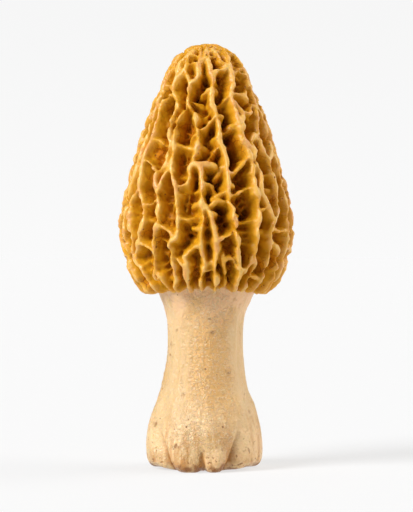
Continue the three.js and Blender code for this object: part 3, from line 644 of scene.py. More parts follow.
@dataclass
class RibChart:
    """The network of ribs over the whole cap, laid on its outline."""

    outline: Outline
    rim: Rim
    step: float = 0.3
    margin_height: float = 43.0
    back_spread: float = 1.1
    back_drift: float = 4.0
    back_drift_length: float = 7.0
    back_rise: float = 1.2
    back_rise_waves: int = 3
    crown_span: float = 8.0
    per_span: int = 10

    def on_back(self, rib: Rib) -> Rib:
        """Gives the rib's partner on the back: half a turn round, wider set and drifting with height."""
        crown = self.outline.points[0, 1]
        path = []
        for azimuth, height in rib.path:
            drift = self.back_drift * math.sin(height / self.back_drift_length)
            rise = self.back_rise * math.sin(math.radians(self.back_rise_waves * azimuth))
            eased = float(smooth(np.array(crown - height), 0.0, self.crown_span))
            share = eased if height > self.margin_height else 0.0
            path.append((180.0 + self.back_spread * azimuth + drift, height + rise * share))
        return Rib(rib.kind, tuple(path), rib.sags)

    def crest(self, rib: Rib) -> tuple[np.ndarray, np.ndarray]:
        """Lays a rib on the cap.

        Args:
            rib: The rib to lay.

        Returns:
            The points of its crest, and how far the crest lies under the outline at each.
        """
        path = np.array(rib.path, float)
        knots = np.stack([path[:, 0], self.outline.share_at(path[:, 1])], axis=1)
        if path[-1, 1] < self.margin_height:
            knots = np.vstack([knots, [path[-1, 0], 1.0]])
        fine = spline(knots, self.per_span)
        radius, height = self.outline.at(np.clip(fine[:, 1], 0.0, 1.0))
        height = height + self.rim.rise(fine[:, 0], fine[:, 1])
        points, shares = evenly(around(fine[:, 0], radius, height), self.step)
        start, middle, end = rib.sags
        sags = start * (1 - shares) ** 2 + 2 * middle * shares * (1 - shares) + end * shares**2
        return points, sags

    def network(self, kind: RibKind) -> bpy.types.Object:
        """Makes the loose lines of all ribs of a kind.

        Args:
            kind: Which ribs.

        Returns:
            A helper object with the attributes sag and half_width in metres.
        """
        ribs = [rib for rib in FRONT_RIBS if rib.kind is kind]
        ribs += [self.on_back(rib) for rib in ribs]
        ribs += [rib for rib in SIDE_RIBS if rib.kind is kind]
        points, sags, edges = [], [], []
        for rib in ribs:
            crest, sag = self.crest(rib)
            first = sum(len(part) for part in points)
            edges += [(first + i, first + i + 1) for i in range(len(crest) - 1)]
            points.append(crest)
            sags.append(sag)
        lines = mesh_object(f"{kind.name.lower()}_lines", np.vstack(points), edges, [])
        store(lines, "sag", np.concatenate(sags) * MM)
        store(lines, "half_width", np.full(sum(map(len, points)), kind.half_width * MM))
        log.info("%s ribs: %d lines, %d points", kind.name.lower(), len(ribs), len(lines.data.vertices))
        return lines


@dataclass(frozen=True)
class FleshFinish:
    """The skin of the mushroom: honey yellow ribs over amber pits, and a mealy cream stem, with painted
    highlight on the crests, painted shade deep in the pits and along the foot's creases, and painted light
    under the cap.

    Colours are linear. Grains are in features per metre and heights in metres, and a depth on the cap is a
    share of a pit's full depth. A pair of limits says where a mark sets in and where it is full, and a pair
    of shares or sizes says how much of it there is at those limits.
    """

    # The ridges' own paler tone, lightened further as a painted highlight along their tops.
    crest: Colour = (0.75, 0.44, 0.105)
    shoulder: Colour = (0.68, 0.335, 0.024)
    wall: Colour = (0.58, 0.265, 0.008)
    # The floor tone is partly the pits' own darker colour and partly painted shade; the deep tone is mostly
    # painted shade.
    floor: Colour = (0.36, 0.125, 0.003)
    deep: Colour = (0.12, 0.025, 0.001)
    blush: Colour = (0.64, 0.29, 0.075)
    rust: Colour = (0.50, 0.155, 0.004)
    rust_dark: Colour = (0.20, 0.045, 0.003)
    speck: Colour = (0.20, 0.05, 0.004)
    cream: Colour = (0.67, 0.465, 0.235)
    tan: Colour = (0.68, 0.395, 0.142)
    chalk: Colour = (0.79, 0.55, 0.29)
    crumb: Colour = (0.86, 0.66, 0.40)
    # Pinkish and lighter than the cream: partly the stem's own tint, partly painted light where the cap
    # shades it.
    pink: Colour = (0.86, 0.54, 0.30)
    # Brown stain for the runs and the foot, also painted shade along the foot's creases.
    stain: Colour = (0.48, 0.21, 0.042)
    soil: Colour = (0.27, 0.10, 0.018)

    patch_grain: float = 130.0
    mottle_grain: float = 420.0
    fine_grain: float = 1500.0
    crack_grain: float = 520.0
    speck_grain: float = 450.0
    curl_grain: float = 1350.0
    streak_grain: float = 240.0
    run_grain: float = 420.0
    grit_grain: float = 1250.0
    blush_grain: float = 378.0
    crumb_break_grain: float = 1755.0
    speck_size_grain: float = 900.0

    # The depths at which each tone of the cap takes over, and how far the mottling shifts them. The pale
    # crest is partly a painted highlight; the floor and deep tones are partly painted shade.
    shoulder_depth: Span = (0.01, 0.09)
    wall_depth: Span = (0.08, 0.32)
    floor_depth: Span = (0.38, 0.74)
    deep_depth: Span = (0.72, 1.06)
    crest_shift: float = 0.12
    tone_shift: float = 0.30

    # Blush, rust and cracks on the cap: the noise and the depth where they show, and how strong they are.
    blush_noise: Span = (0.50, 0.62)
    blush_depth: Span = (0.16, 0.03)
    blush_share: float = 0.7
    rust_noise: Span = (0.52, 0.66)
    rust_depth: Span = (0.10, 0.50)
    rust_share: float = 0.6
    crack_width: Span = (0.07, 0.0)
    crack_noise: Span = (0.50, 0.66)
    crack_depth: Span = (0.04, 0.25)
    crack_share: Span = (0.05, 0.75)

    # Marks on the stem: the height and the noise where they show, and how strong they are.
    tan_height: Span = (0.005, 0.018)
    tan_share: Span = (0.15, 1.0)
    streak_stretch: Stretch = (1.0, 1.0, 0.22)
    streak_gain: float = 1.1
    # Under the cap the stem is pinkish and lighter: partly its own tint, partly painted light against the
    # cap's shade.
    pink_height: Span = (0.031, 0.040)
    pink_noise: Span = (0.34, 0.54)
    pink_share: float = 0.7
    chalk_height: Span = (0.020, 0.010)
    chalk_noise: Span = (0.46, 0.57)
    chalk_share: float = 0.9
    run_stretch: Stretch = (1.0, 1.0, 0.18)
    run_height: Span = (0.018, 0.003)
    run_noise: Span = (0.49, 0.60)
    run_share: float = 0.65
    # Along the creases of the foot: partly a brown stain, partly painted shade where one lobe laps over the
    # next.
    crease_depth: Span = (0.08, 0.60)
    crease_share: float = 0.9
    tint_height: Span = (0.0065, 0.0005)
    tint_noise: Span = (0.35, 0.60)
    tint_share: float = 0.55
    soil_height: Span = (0.0028, 0.0002)
    soil_shift: float = 3.4
    soil_edge: Span = (0.42, 1.02)
    soil_share: float = 0.9
    grit_noise: Span = (0.62, 0.70)
    grit_height: Span = (0.014, 0.001)
    grit_share: float = 0.8
    crumb_ridge: Span = (0.080, 0.020)
    crumb_noise: Span = (0.40, 0.50)
    crumb_share: float = 0.65

    # Specks of soil: where they lie thick, how the noise spreads them, and their size within a cell.
    speck_height: Span = (0.022, 0.006)
    speck_gain: float = 0.10
    speck_noise: Span = (0.50, 0.60)
    speck_size_noise: Span = (0.35, 0.65)
    speck_size: Span = (0.06, 0.14)
    speck_edge: Span = (1.0, 0.6)
    speck_share: float = 0.9

    roughness: float = 0.33
    shine: float = 0.42
    pit_shine: float = 0.05
    shine_depth: Span = (0.05, 0.45)
    subsurface: float = 0.26
    subsurface_reach: float = 0.0010
    subsurface_tint: Colour = (1.0, 0.6, 0.25)

    # Relief: what the mottling and the grains add everywhere, and what they add more on the cap or the stem.
    bump_strength: float = 0.8
    bump_height: float = 0.0006
    mottle_relief: float = 0.4
    cap_mottle_relief: float = 0.15
    grain_relief: float = 0.3
    stem_grain_relief: float = 0.5
    crumb_relief: float = 0.5

    def mixed(self, s: Sketch, share: object, a: object, b: object) -> bpy.types.NodeSocket:
        """Mixes two colours."""
        inputs = {"Factor": share, 6: self.opaque(a), 7: self.opaque(b)}
        return s.add("ShaderNodeMix", inputs, data_type="RGBA").outputs[2]

    def opaque(self, colour: object) -> object:
        """Adds an alpha of one to a plain colour and leaves an output as it is."""
        return colour if isinstance(colour, bpy.types.NodeSocket) else (*colour, 1.0)

    def cap(
        self, s: Sketch, place: object, depth: object, mottle: object, patch: object
    ) -> bpy.types.NodeSocket:
        """Colours the cap by how deep it lies, with blushed crests, rusty pits and fine cracks: paler at the
        crests, partly as a painted highlight, and darker down the pits, partly as painted shade.
        """
        uneven = s.math("MULTIPLY_ADD", s.centred(mottle), self.tone_shift, depth)
        # This sets the narrow pale crest line, partly a painted highlight.
        edge = s.math("MULTIPLY_ADD", s.centred(mottle), self.crest_shift, depth)
        colour = self.mixed(s, s.ramp(edge, *self.shoulder_depth), self.crest, self.shoulder)
        # Darker tones down the pits: partly their own colour, partly painted shade.
        colour = self.mixed(s, s.ramp(uneven, *self.wall_depth), colour, self.wall)
        colour = self.mixed(s, s.ramp(uneven, *self.floor_depth), colour, self.floor)
        colour = self.mixed(s, s.ramp(uneven, *self.deep_depth), colour, self.deep)
        blushing = s.ramp(s.noise(place, self.blush_grain, detail=3.0).outputs[0], *self.blush_noise)
        blushed = s.math("MULTIPLY", blushing, s.ramp(depth, *self.blush_depth))
        colour = self.mixed(s, s.math("MULTIPLY", blushed, self.blush_share), colour, self.blush)
        rusty = s.math("MULTIPLY", s.ramp(patch, *self.rust_noise), s.ramp(depth, *self.rust_depth))
        colour = self.mixed(s, s.math("MULTIPLY", rusty, self.rust_share), colour, self.rust)
        edges = s.add(
            "ShaderNodeTexVoronoi", {"Vector": place, "Scale": self.crack_grain}, feature="DISTANCE_TO_EDGE"
        ).outputs["Distance"]
        cracked = s.math("MULTIPLY", s.ramp(edges, *self.crack_width), s.ramp(patch, *self.crack_noise))
        cracked = s.math("MULTIPLY", cracked, s.ramp(depth, *self.crack_depth, *self.crack_share))
        return self.mixed(s, cracked, colour, self.rust_dark)

    def curls(self, s: Sketch, place: object, mealy: object) -> bpy.types.NodeSocket:
        """Marks the short wavy crumbs that stand on the mealy parts of the stem."""
        squeezed = s.vector("MULTIPLY", place, CRUMB_SHAPE)
        wavy = s.noise(squeezed, self.curl_grain, detail=1.0, Distortion=0.9).outputs[0]
        ridge = s.ramp(s.math("ABSOLUTE", s.centred(wavy)), *self.crumb_ridge)
        broken = s.ramp(s.noise(place, self.crumb_break_grain, detail=0.0).outputs[0], *self.crumb_noise)
        return s.math("MULTIPLY", s.math("MULTIPLY", ridge, broken), mealy)

    def stem(
        self, s: Sketch, place: object, mottle: object, patch: object, curls: object, mealy: object
    ) -> bpy.types.NodeSocket:
        """Colours the stem: cream with tan bands, pinkish and lighter under the cap, partly as painted light,
        chalky and stained at the foot, with painted shade along the foot's creases.
        """
        height = s.add("ShaderNodeSeparateXYZ", {0: place}).outputs["Z"]
        stretched = s.vector("MULTIPLY", place, self.streak_stretch)
        streaks = s.noise(stretched, self.streak_grain, detail=3.0).outputs[0]
        browned = s.math("MULTIPLY", mealy, s.ramp(height, *self.tan_height, *self.tan_share))
        browned = s.math("MULTIPLY_ADD", s.centred(streaks), self.streak_gain, browned, clamp=True)
        colour = self.mixed(s, browned, self.cream, self.tan)
        # Pinkish, lighter colour under the cap: partly the stem's own tint, partly painted light.
        blushed = s.math("MULTIPLY", s.ramp(height, *self.pink_height), s.ramp(patch, *self.pink_noise))
        colour = self.mixed(s, s.math("MULTIPLY", blushed, self.pink_share), colour, self.pink)
        low = s.ramp(height, *self.chalk_height)
        chalky = s.math("MULTIPLY", low, s.ramp(patch, *self.chalk_noise))
        colour = self.mixed(s, s.math("MULTIPLY", chalky, self.chalk_share), colour, self.chalk)
        drawn = s.vector("MULTIPLY", place, self.run_stretch)
        runs = s.noise(drawn, self.run_grain, detail=3.0).outputs[0]
        stained = s.math("MULTIPLY", s.ramp(height, *self.run_height), s.ramp(runs, *self.run_noise))
        colour = self.mixed(s, s.math("MULTIPLY", stained, self.run_share), colour, self.stain)
        # The foot's creases darken: partly a brown stain, partly painted shade.
        crease = s.add("ShaderNodeAttribute", attribute_name="crease").outputs["Fac"]
        crease_shade = s.math("MULTIPLY", s.ramp(crease, *self.crease_depth), self.crease_share)
        colour = self.mixed(s, crease_shade, colour, self.stain)
        tinted = s.math("MULTIPLY", s.ramp(height, *self.tint_height), s.ramp(mottle, *self.tint_noise))
        colour = self.mixed(s, s.math("MULTIPLY", tinted, self.tint_share), colour, self.stain)
        shifted = s.centred(mottle)
        soiled = s.math("MULTIPLY_ADD", shifted, self.soil_shift, s.ramp(height, *self.soil_height))
        soiled = s.math("MULTIPLY", s.ramp(soiled, *self.soil_edge), self.soil_share)
        colour = self.mixed(s, soiled, colour, self.soil)
        grit = s.ramp(s.noise(place, self.grit_grain, detail=1.0).outputs[0], *self.grit_noise)
        grit = s.math("MULTIPLY", grit, s.ramp(height, *self.grit_height))
        colour = self.mixed(s, s.math("MULTIPLY", grit, self.grit_share), colour, self.soil)
        return self.mixed(s, s.math("MULTIPLY", curls, self.crumb_share), colour, self.crumb)

    def specks(self, s: Sketch, place: object, on_cap: object) -> bpy.types.NodeSocket:
        """Marks scattered specks of soil, more of them on the cap and the foot than along the stem."""
        height = s.add("ShaderNodeSeparateXYZ", {0: place}).outputs["Z"]
        thick = s.math("MAXIMUM", on_cap, s.ramp(height, *self.speck_height))
        inputs = {"Vector": place, "Scale": self.speck_grain}
        cells = s.add("ShaderNodeTexVoronoi", inputs).outputs["Distance"]
        spread = s.noise(place, self.patch_grain, detail=1.0).outputs[0]
        sparse = s.ramp(s.math("MULTIPLY_ADD", thick, self.speck_gain, spread), *self.speck_noise)
        sizes = s.noise(place, self.speck_size_grain, detail=0.0).outputs[0]
        size = s.ramp(sizes, *self.speck_size_noise, *self.speck_size)
        return s.math("MULTIPLY", s.ramp(s.math("DIVIDE", cells, size), *self.speck_edge), sparse)

    def material(self, name: str) -> bpy.types.Material:
        """Builds the material.

        Args:
            name: Its name.

        Returns:
            The material.
        """
        made = bpy.data.materials.new(name)
        made.use_nodes = True
        made.node_tree.nodes.clear()
        s = Sketch(made.node_tree)
        place = s.add("ShaderNodeTexCoord").outputs["Object"]
        on_cap = s.add("ShaderNodeAttribute", attribute_name="on_cap").outputs["Fac"]
        mealy = s.add("ShaderNodeAttribute", attribute_name="mealy").outputs["Fac"]
        mottle = s.noise(place, self.mottle_grain, detail=4.0).outputs[0]
        patch = s.noise(place, self.patch_grain, detail=3.0).outputs[0]
        grains = s.noise(place, self.fine_grain, detail=3.0).outputs[0]
        curls = self.curls(s, place, mealy)
        depth = s.add("ShaderNodeAttribute", attribute_name="pit").outputs["Fac"]

        stem = self.stem(s, place, mottle, patch, curls, mealy)
        cap = self.cap(s, place, depth, mottle, patch)
        colour = self.mixed(s, on_cap, stem, cap)
        specked = s.math("MULTIPLY", self.specks(s, place, on_cap), self.speck_share)
        colour = self.mixed(s, specked, colour, self.speck)

        on_stem = s.math("SUBTRACT", 1.0, on_cap)
        rough = s.math("MULTIPLY_ADD", on_cap, self.cap_mottle_relief, self.mottle_relief)
        crumbs = s.math("MULTIPLY", curls, s.math("MULTIPLY", on_stem, self.crumb_relief))
        raised = s.math("MULTIPLY_ADD", mottle, rough, crumbs)
        fine = s.math("MULTIPLY_ADD", on_stem, self.stem_grain_relief, self.grain_relief)
        raised = s.math("MULTIPLY_ADD", grains, fine, raised)
        inputs = {"Height": raised, "Strength": self.bump_strength, "Distance": self.bump_height}
        bump = s.add("ShaderNodeBump", inputs).outputs[0]
        skin = s.add(
            "ShaderNodeBsdfPrincipled",
            {
                "Base Color": colour,
                "Roughness": self.roughness,
                "Subsurface Weight": self.subsurface,
                "Subsurface Radius": self.subsurface_tint,
                "Subsurface Scale": self.subsurface_reach,
                "Specular IOR Level": s.ramp(depth, *self.shine_depth, self.shine, self.pit_shine),
                "Normal": bump,
            },
        )
        s.add("ShaderNodeOutputMaterial", {"Surface": skin.outputs[0]})
        return made


@dataclass
class Morel:
    """The whole mushroom: its sizes in millimetres, the steps that shape it, and its dressing."""

    cap_knots: tuple[Point, ...] = (
        (0, 100.2), (3.4, 99.7), (6.3, 98.1), (8.7, 95.2), (11.3, 89.6), (14.3, 82.5), (16.5, 75.5),
        (19.1, 67), (20.5, 60), (20.8, 55.5), (19.7, 50), (18.1, 45.2), (15.8, 41.9), (13.6, 40.9),
        (11.5, 41.8),
    )
    stem_knots: tuple[Point, ...] = (
        (11.5, 41.8), (10.7, 40), (9.6, 37), (8.95, 33.4), (8.85, 29.5), (9.3, 24.4), (10.3, 19.2),
        (11.9, 14.5), (13.4, 10.5), (14.1, 7), (14.2, 4), (13.9, 1.8), (13.2, 0.5), (12.2, 0), (10.8, 0),
    )
    folds: tuple[Fold, ...] = (
        Fold(-33, 3.9, 13, 6.0, slant=-1.9, lift=1.0, skew=0.45),
        Fold(-1, 1.7, 8.5, 2.6, slant=-0.1, lift=1.6),
        Fold(22, 2.8, 13, 4.5, slant=1.3, lift=2.2, skew=-0.5),
        Fold(84, 1.4, 16, 8, lift=1.6),
        Fold(131, 2.1, 12, 6, slant=-0.6, lift=2.0),
        Fold(176, 1.6, 15, 6, slant=0.4, lift=1.8),
        Fold(228, 2.0, 13, 6, slant=0.5, lift=2.0),
        Fold(277, 1.4, 14, 8, slant=-0.4, lift=1.6),
        Fold(-17, -1.9, 10, 11, slant=-0.8),
        Fold(11, -1.1, 10, 8, slant=0.5),
        Fold(-62, 0.0, 8, 18, lift=0.9),
        Fold(58, 0.0, 8, 20, lift=1.2),
        Fold(104, -0.5, 11, 12),
        Fold(200, -0.6, 12, 12, slant=0.4),
    )
    flutes: tuple[Flute, ...] = (
        Flute(2, 0.22, 30, 1.0),
        Flute(5, 0.16, 110, -1.4),
        Flute(9, 0.10, 10, 2.2),
    )
    fold_sharpness: float = 1.4
    stem_lean: tuple[Point, ...] = ((0.0, -0.57), (10.0, -0.57), (33.0, -0.33), (42.0, 0.0))
    columns: int = 540
    grid_step: float = 0.26
    pit_depth: float = 5.0
    pits: tuple[Point, ...] = (
        (0.0, 0.7), (0.04, 1.1), (0.08, 2.0), (0.14, 3.3), (0.25, 4.3), (0.38, 4.8), (0.50, 5.0),
        (0.70, 4.7), (0.86, 4.0), (0.90, 3.7), (0.93, 3.3), (0.95, 2.8), (0.97, 2.3), (0.985, 1.3),
        (1.0, 0.0),
    )
    rooms: tuple[Point, ...] = (
        (0.0, 0.38), (0.05, 0.50), (0.14, 0.78), (0.25, 1.0), (0.84, 1.0), (0.90, 0.75), (0.94, 0.52),
        (1.0, 0.42),
    )
    deep_side: float = 12.0
    deep_width: float = 24.0
    deep_gain: float = 0.32
    rim: Rim = field(default_factory=Rim)
    seam_height: float = 42.0
    mealy_bands: int = 3
    mealy_azimuth: float = 5.0
    weld_size: float = 0.23
    quick_weld: int = 2
    settle_share: float = 0.5
    settle_rounds: int = 2
    triangles: int = 198_000

    # How far below the seam the flutes set in and the rim's rise fades, how high and how far out the foot's
    # edge lifts, the share of the outline at which the cap ends, and how far above the seam it begins.
    flute_run_in: float = 10.0
    rise_fade: float = 6.0
    lift_height: float = 3.0
    lift_radii: Span = (9.0, 12.0)
    cap_end: float = 0.985
    seam_blend: Span = (0.9, 1.7)

    # What makes the ribs and the pits uneven. Grains are in features per metre.
    gnarl_grain: float = 420.0
    bulge_grain: float = 290.0
    bulge_noise: Span = (0.32, 0.68)
    bulge: Span = (0.62, 1.4)
    crest_room: float = 0.55
    crest_least: float = 0.45
    wander_grain: float = 260.0
    uneven_grain: float = 110.0
    uneven_noise: Span = (0.3, 0.7)
    unevenness: Span = (0.82, 1.12)
    vein_width: float = 0.22
    swell_grain: float = 160.0

    # What wrinkles the cap, and what covers the stem.
    fold_grain: float = 330.0
    pucker_grain: float = 900.0
    crumb_grain: float = 1100.0
    pleat_grain: float = 560.0
    pleat_stretch: Stretch = (1.0, 1.0, 0.12)
    pleat_hidden: float = -0.75
    pleat_heights: Span = (6.0, 16.0)
    pleat_share: Span = (0.5, 1.0)
    still_height: float = 1.0
    band_grain: float = 150.0
    band_blur: float = 2.0
    band_edge: Span = (-0.75, 0.50)
    band_heights: Span = (1.0, 10.0)

    # A depth is told as a share of mostly the pits' own depth there, and partly of the full one.
    local_share: float = 0.85
    full_share: float = 0.15

    def along(self, table: tuple[Point, ...], share: np.ndarray) -> np.ndarray:
        """Reads a table, such as the depth of the pits, at shares of the cap's outline."""
        shares, values = zip(*table)
        return np.interp(share, shares, values)

    def turned_body(self, cap: Outline, stem: Outline) -> bpy.types.Object:
        """Makes the closed body that the ribs' crests and the stem's skin lie on.

        Args:
            cap: The outline from the crown to the seam.
            stem: The outline from the seam to the foot's edge.

        Returns:
            A helper object with the attributes inward, pit_depth, on_cap, room and crease.
        """
        azimuth = np.arange(self.columns) * 360.0 / self.columns
        turn = np.radians(azimuth)[None, :]
        share = cap.shares[1:, None]
        rise = self.rim.rise(azimuth[None, :], share)
        cap_radius = cap.points[1:, 0][:, None] + 0 * turn
        cap_height = cap.points[1:, 1][:, None] + rise

        height = stem.points[1:, 1][:, None] + 0 * turn
        radius = stem.points[1:, 0][:, None] + 0 * turn
        seam = stem.points[0, 1]
        for flute in self.flutes:
            wave = np.sin(flute.waves * turn + np.radians(flute.phase + flute.twist * height))
            radius = radius + flute.height * wave * smooth(seam - height, 0.0, self.flute_run_in)
        lift = 0 * turn
        crease = 0 * height
        for fold in self.folds:
            aside = (azimuth[None, :] - fold.azimuth - fold.slant * height + 180) % 360 - 180
            wide = fold.half_width * (1 - fold.skew * np.sign(aside))
            across = np.exp(-(np.abs(aside / wide) ** self.fold_sharpness))
            fading = 1 - smooth(height, 0.0, fold.top)
            radius = radius - fold.depth * across * fading
            # This crease mark darkens the foot's creases in the finish, partly as painted shade.
            crease = np.maximum(crease, np.sign(fold.depth) * across**2 * fading)
            low = 1 - smooth(height, 0.0, self.lift_height)
            lift = lift + fold.lift * across * low * smooth(radius, *self.lift_radii)
        stem_rise = rise[-1:, :] * smooth(height, seam - self.rise_fade, seam)
        height = height + lift + stem_rise

        heights, leans = zip(*self.stem_lean)
        lean = np.stack([np.interp(height, heights, leans), 0 * height, 0 * height], axis=-1)
        rings = np.vstack([
            around(azimuth[None, :], cap_radius, cap_height),
            around(azimuth[None, :], radius, height) + lean,
        ])
        count = len(rings)
        crown, foot = np.array([[0.0, 0.0, cap.points[0, 1]]]), np.array([[0.0, 0.0, 0.0]])
        points = np.vstack([crown, rings.reshape(-1, 3), foot])

        near = 1 + np.arange(self.columns)
        side = 1 + (np.arange(self.columns) + 1) % self.columns
        faces = [(0, int(a), int(b)) for a, b in zip(near, side)]
        for ring in range(count - 1):
            over = ring * self.columns
            under = over + self.columns
            faces += [
                (int(a + over), int(a + under), int(b + under), int(b + over)) for a, b in zip(near, side)
            ]
        last = (count - 1) * self.columns
        faces += [(int(a + last), len(points) - 1, int(b + last)) for a, b in zip(near, side)]

        outward = np.zeros((count, self.columns, 3))
        facing = cap.outward[1:]
        outward[: len(share)] = around(azimuth[None, :], facing[:, :1] + 0 * turn, facing[:, 1:])
        depth = np.zeros((count, self.columns))
        away = (azimuth[None, :] - self.deep_side + 180) % 360 - 180
        deeper = 1 + self.deep_gain * np.exp(-((away / self.deep_width) ** 2))
        depth[: len(share)] = self.along(self.pits, share) * deeper
        belonging = np.zeros((count, self.columns))
        belonging[: len(share)] = 1 - smooth(share, self.cap_end, 1.0)

        body = mesh_object("turned_body", points, [], faces)
        ends = np.array([[0.0, 0.0, 1.0]])
        store(body, "inward", -np.vstack([ends, outward.reshape(-1, 3), -ends]))
        store(body, "pit_depth", np.concatenate([[self.pits[0][1]], depth.ravel(), [0.0]]) * MM)
        store(body, "on_cap", np.concatenate([[1.0], belonging.ravel(), [0.0]]))
        room = np.ones((count, self.columns))
        room[: len(share)] = self.along(self.rooms, share)
        store(body, "room", np.concatenate([[self.rooms[0][1]], room.ravel(), [1.0]]))
        creases = np.vstack([np.zeros((len(share), self.columns)), crease])
        store(body, "crease", np.concatenate([[0.0], creases.ravel(), [0.0]]))
        log.info("turned body: %d rings of %d", count, self.columns)
        return body

    def rib_floor(self, tree: ShapeTree, kind: RibKind, place: object, pit: object) -> bpy.types.NodeSocket:
        """Works out how deep the skin lies beside the ribs of one kind.

        Args:
            tree: The tree to add to.
            kind: Which ribs.
            place: The position to measure from.
            pit: How deep the pits are there.

        Returns:
            The depth under the outline.
        """
        lines = tree.geometry_of(kind.label)
        given = tree.given
        reach = tree.add(
            "GeometryNodeProximity", {"Geometry": lines, "Sample Position": place}, target_element="EDGES"
        ).outputs["Distance"]
        nearest = tree.add(
            "GeometryNodeSampleNearest", {"Geometry": lines, "Sample Position": place}
        ).outputs[0]
        sag, half = (
            tree.add(
                "GeometryNodeSampleIndex",
                {"Geometry": lines, "Value": tree.attribute(name), "Index": nearest},
            ).outputs[0]
            for name in ("sag", "half_width")
        )
        room = tree.attribute("room")
        gnarled = tree.centred(tree.noise(place, self.gnarl_grain, detail=1.0).outputs[0])
        reach = tree.math("MULTIPLY_ADD", tree.math("MULTIPLY", gnarled, room), given["Gnarl"], reach)
        bulges = tree.noise(place, self.bulge_grain, detail=1.0).outputs[0]
        bulging = tree.ramp(bulges, *self.bulge_noise, *self.bulge)
        run = tree.math("MULTIPLY", given[f"{kind.label} Wall Run"], bulging)
        run = tree.math("MULTIPLY", run, room)
        width = tree.math("MULTIPLY_ADD", room, self.crest_room, self.crest_least)
        half = tree.math("MULTIPLY", half, width)
        rounded = tree.math("POWER", tree.math("DIVIDE", reach, half, clamp=True), 2.0)
        sag = tree.math("MULTIPLY_ADD", tree.math("MULTIPLY", rounded, room), given["Crest Round"], sag)
        past = tree.math("DIVIDE", tree.math("SUBTRACT", reach, half), run, clamp=True)
        bent = tree.math("POWER", past, given["Shoulder"])
        left = tree.math("POWER", tree.math("SUBTRACT", 1.0, bent), given["Wall Bend"])
        fall = tree.math("SUBTRACT", 1.0, left)
        drop = tree.math("MAXIMUM", tree.math("SUBTRACT", pit, sag), 0.0)
        return tree.math("MULTIPLY_ADD", drop, fall, sag)

    def relief(self, lines: dict[RibKind, bpy.types.Object]) -> ShapeTree:
        """Makes the tree that sinks the pits between the ribs.

        Args:
            lines: The ribs' lines, by kind.

        Returns:
            The tree, to run on the turned body.
        """
        runs = {f"{kind.label} Wall Run": kind.wall_run * MM for kind in RibKind}
        sizes = {
            "Shoulder": 1.25, "Wall Bend": 2.4, "Blend": 0.85 * MM, "Wander": 1.2 * MM,
            "Swell": 1.3 * MM, "Vein Height": 1.2 * MM, "Vein Spacing": 2.4 * MM, "Gnarl": 2.0 * MM,
            "Crest Round": 0.45 * MM,
        }
        tree = ShapeTree("relief", {kind.label: made for kind, made in lines.items()} | runs | sizes)
        given = tree.given
        place = tree.add("GeometryNodeInputPosition").outputs[0]
        pit = tree.attribute("pit_depth")
        inward = tree.attribute("inward", "FLOAT_VECTOR")
        wander = tree.noise(place, self.wander_grain, detail=3.0).outputs[1]
        drift = tree.vector("SUBTRACT", wander, (NOISE_MIDDLE,) * 3)
        warped = tree.vector("ADD", place, tree.scaled(drift, given["Wander"]))
        broad = tree.noise(place, self.uneven_grain, detail=1.0).outputs[0]
        uneven = tree.ramp(broad, *self.uneven_noise, *self.unevenness)
        spacing = tree.math("DIVIDE", 1.0, given["Vein Spacing"])
        cells = tree.add(
            "ShaderNodeTexVoronoi",
            {"Vector": tree.seeded(warped), "Scale": spacing},
            feature="DISTANCE_TO_EDGE",
        ).outputs["Distance"]
        vein = tree.math("MULTIPLY", tree.ramp(cells, 0.0, self.vein_width, 1.0, 0.0), given["Vein Height"])
        floor = tree.math("SUBTRACT", tree.math("MULTIPLY", pit, uneven), vein)
        floor = tree.math("MAXIMUM", floor, 0.0)
        depth = floor
        for kind in RibKind:
            beside = self.rib_floor(tree, kind, warped, floor)
            blend = tree.math("MULTIPLY", given["Blend"], tree.attribute("room"))
            depth = tree.math("SMOOTH_MIN", depth, beside, blend)
        swell = tree.centred(tree.noise(place, self.swell_grain, detail=3.0).outputs[0])
        share = tree.math("DIVIDE", pit, self.pit_depth * MM, clamp=True)
        depth = tree.math("MULTIPLY_ADD", tree.math("MULTIPLY", swell, given["Swell"]), share, depth)
        moved = tree.add(
            "GeometryNodeSetPosition", {"Geometry": given["Geometry"], "Offset": tree.scaled(inward, depth)}
        ).outputs[0]
        tree.close(moved)
        return tree

    def on_envelope(self, tree: ShapeTree, body: object, name: str) -> bpy.types.NodeSocket:
        """Reads an attribute of the turned body at the nearest point of its skin."""
        return tree.add(
            "GeometryNodeSampleNearestSurface", {"Mesh": body, "Value": tree.attribute(name)}
        ).outputs[0]

    def belonging(self, tree: ShapeTree, body: object, place: object) -> bpy.types.NodeSocket:
        """Tells the cap from the stem, by the nearest skin and, where the pits are deep, by height."""
        height = tree.add("ShaderNodeSeparateXYZ", {0: place}).outputs["Z"]
        low, high = self.seam_blend
        above = tree.ramp(height, *metres((self.seam_height + low, self.seam_height + high)))
        return tree.math("MAXIMUM", self.on_envelope(tree, body, "on_cap"), above)

    def wrinkles(self, envelope: bpy.types.Object) -> ShapeTree:
        """Makes the tree that wrinkles the cap and covers the stem in mealy grains.

        Args:
            envelope: The turned body before its pits.

        Returns:
            The tree, to run on the welded skin.
        """
        tree = ShapeTree("wrinkles", {
            "Envelope": envelope, "Fold Height": 0.75 * MM, "Pucker Height": 0.34 * MM,
            "Grain Height": 0.40 * MM, "Pleat Height": 1.2 * MM,
        })
        given = tree.given
        place = tree.add("GeometryNodeInputPosition").outputs[0]
        normal = tree.add("GeometryNodeInputNormal").outputs[0]
        on_cap = self.belonging(tree, tree.geometry_of("Envelope"), place)
        folds = tree.centred(tree.noise(place, self.fold_grain).outputs[0])
        puckers = tree.centred(tree.noise(place, self.pucker_grain).outputs[0])
        cap = tree.math("ADD", tree.math("MULTIPLY", folds, given["Fold Height"]),
                        tree.math("MULTIPLY", puckers, given["Pucker Height"]))

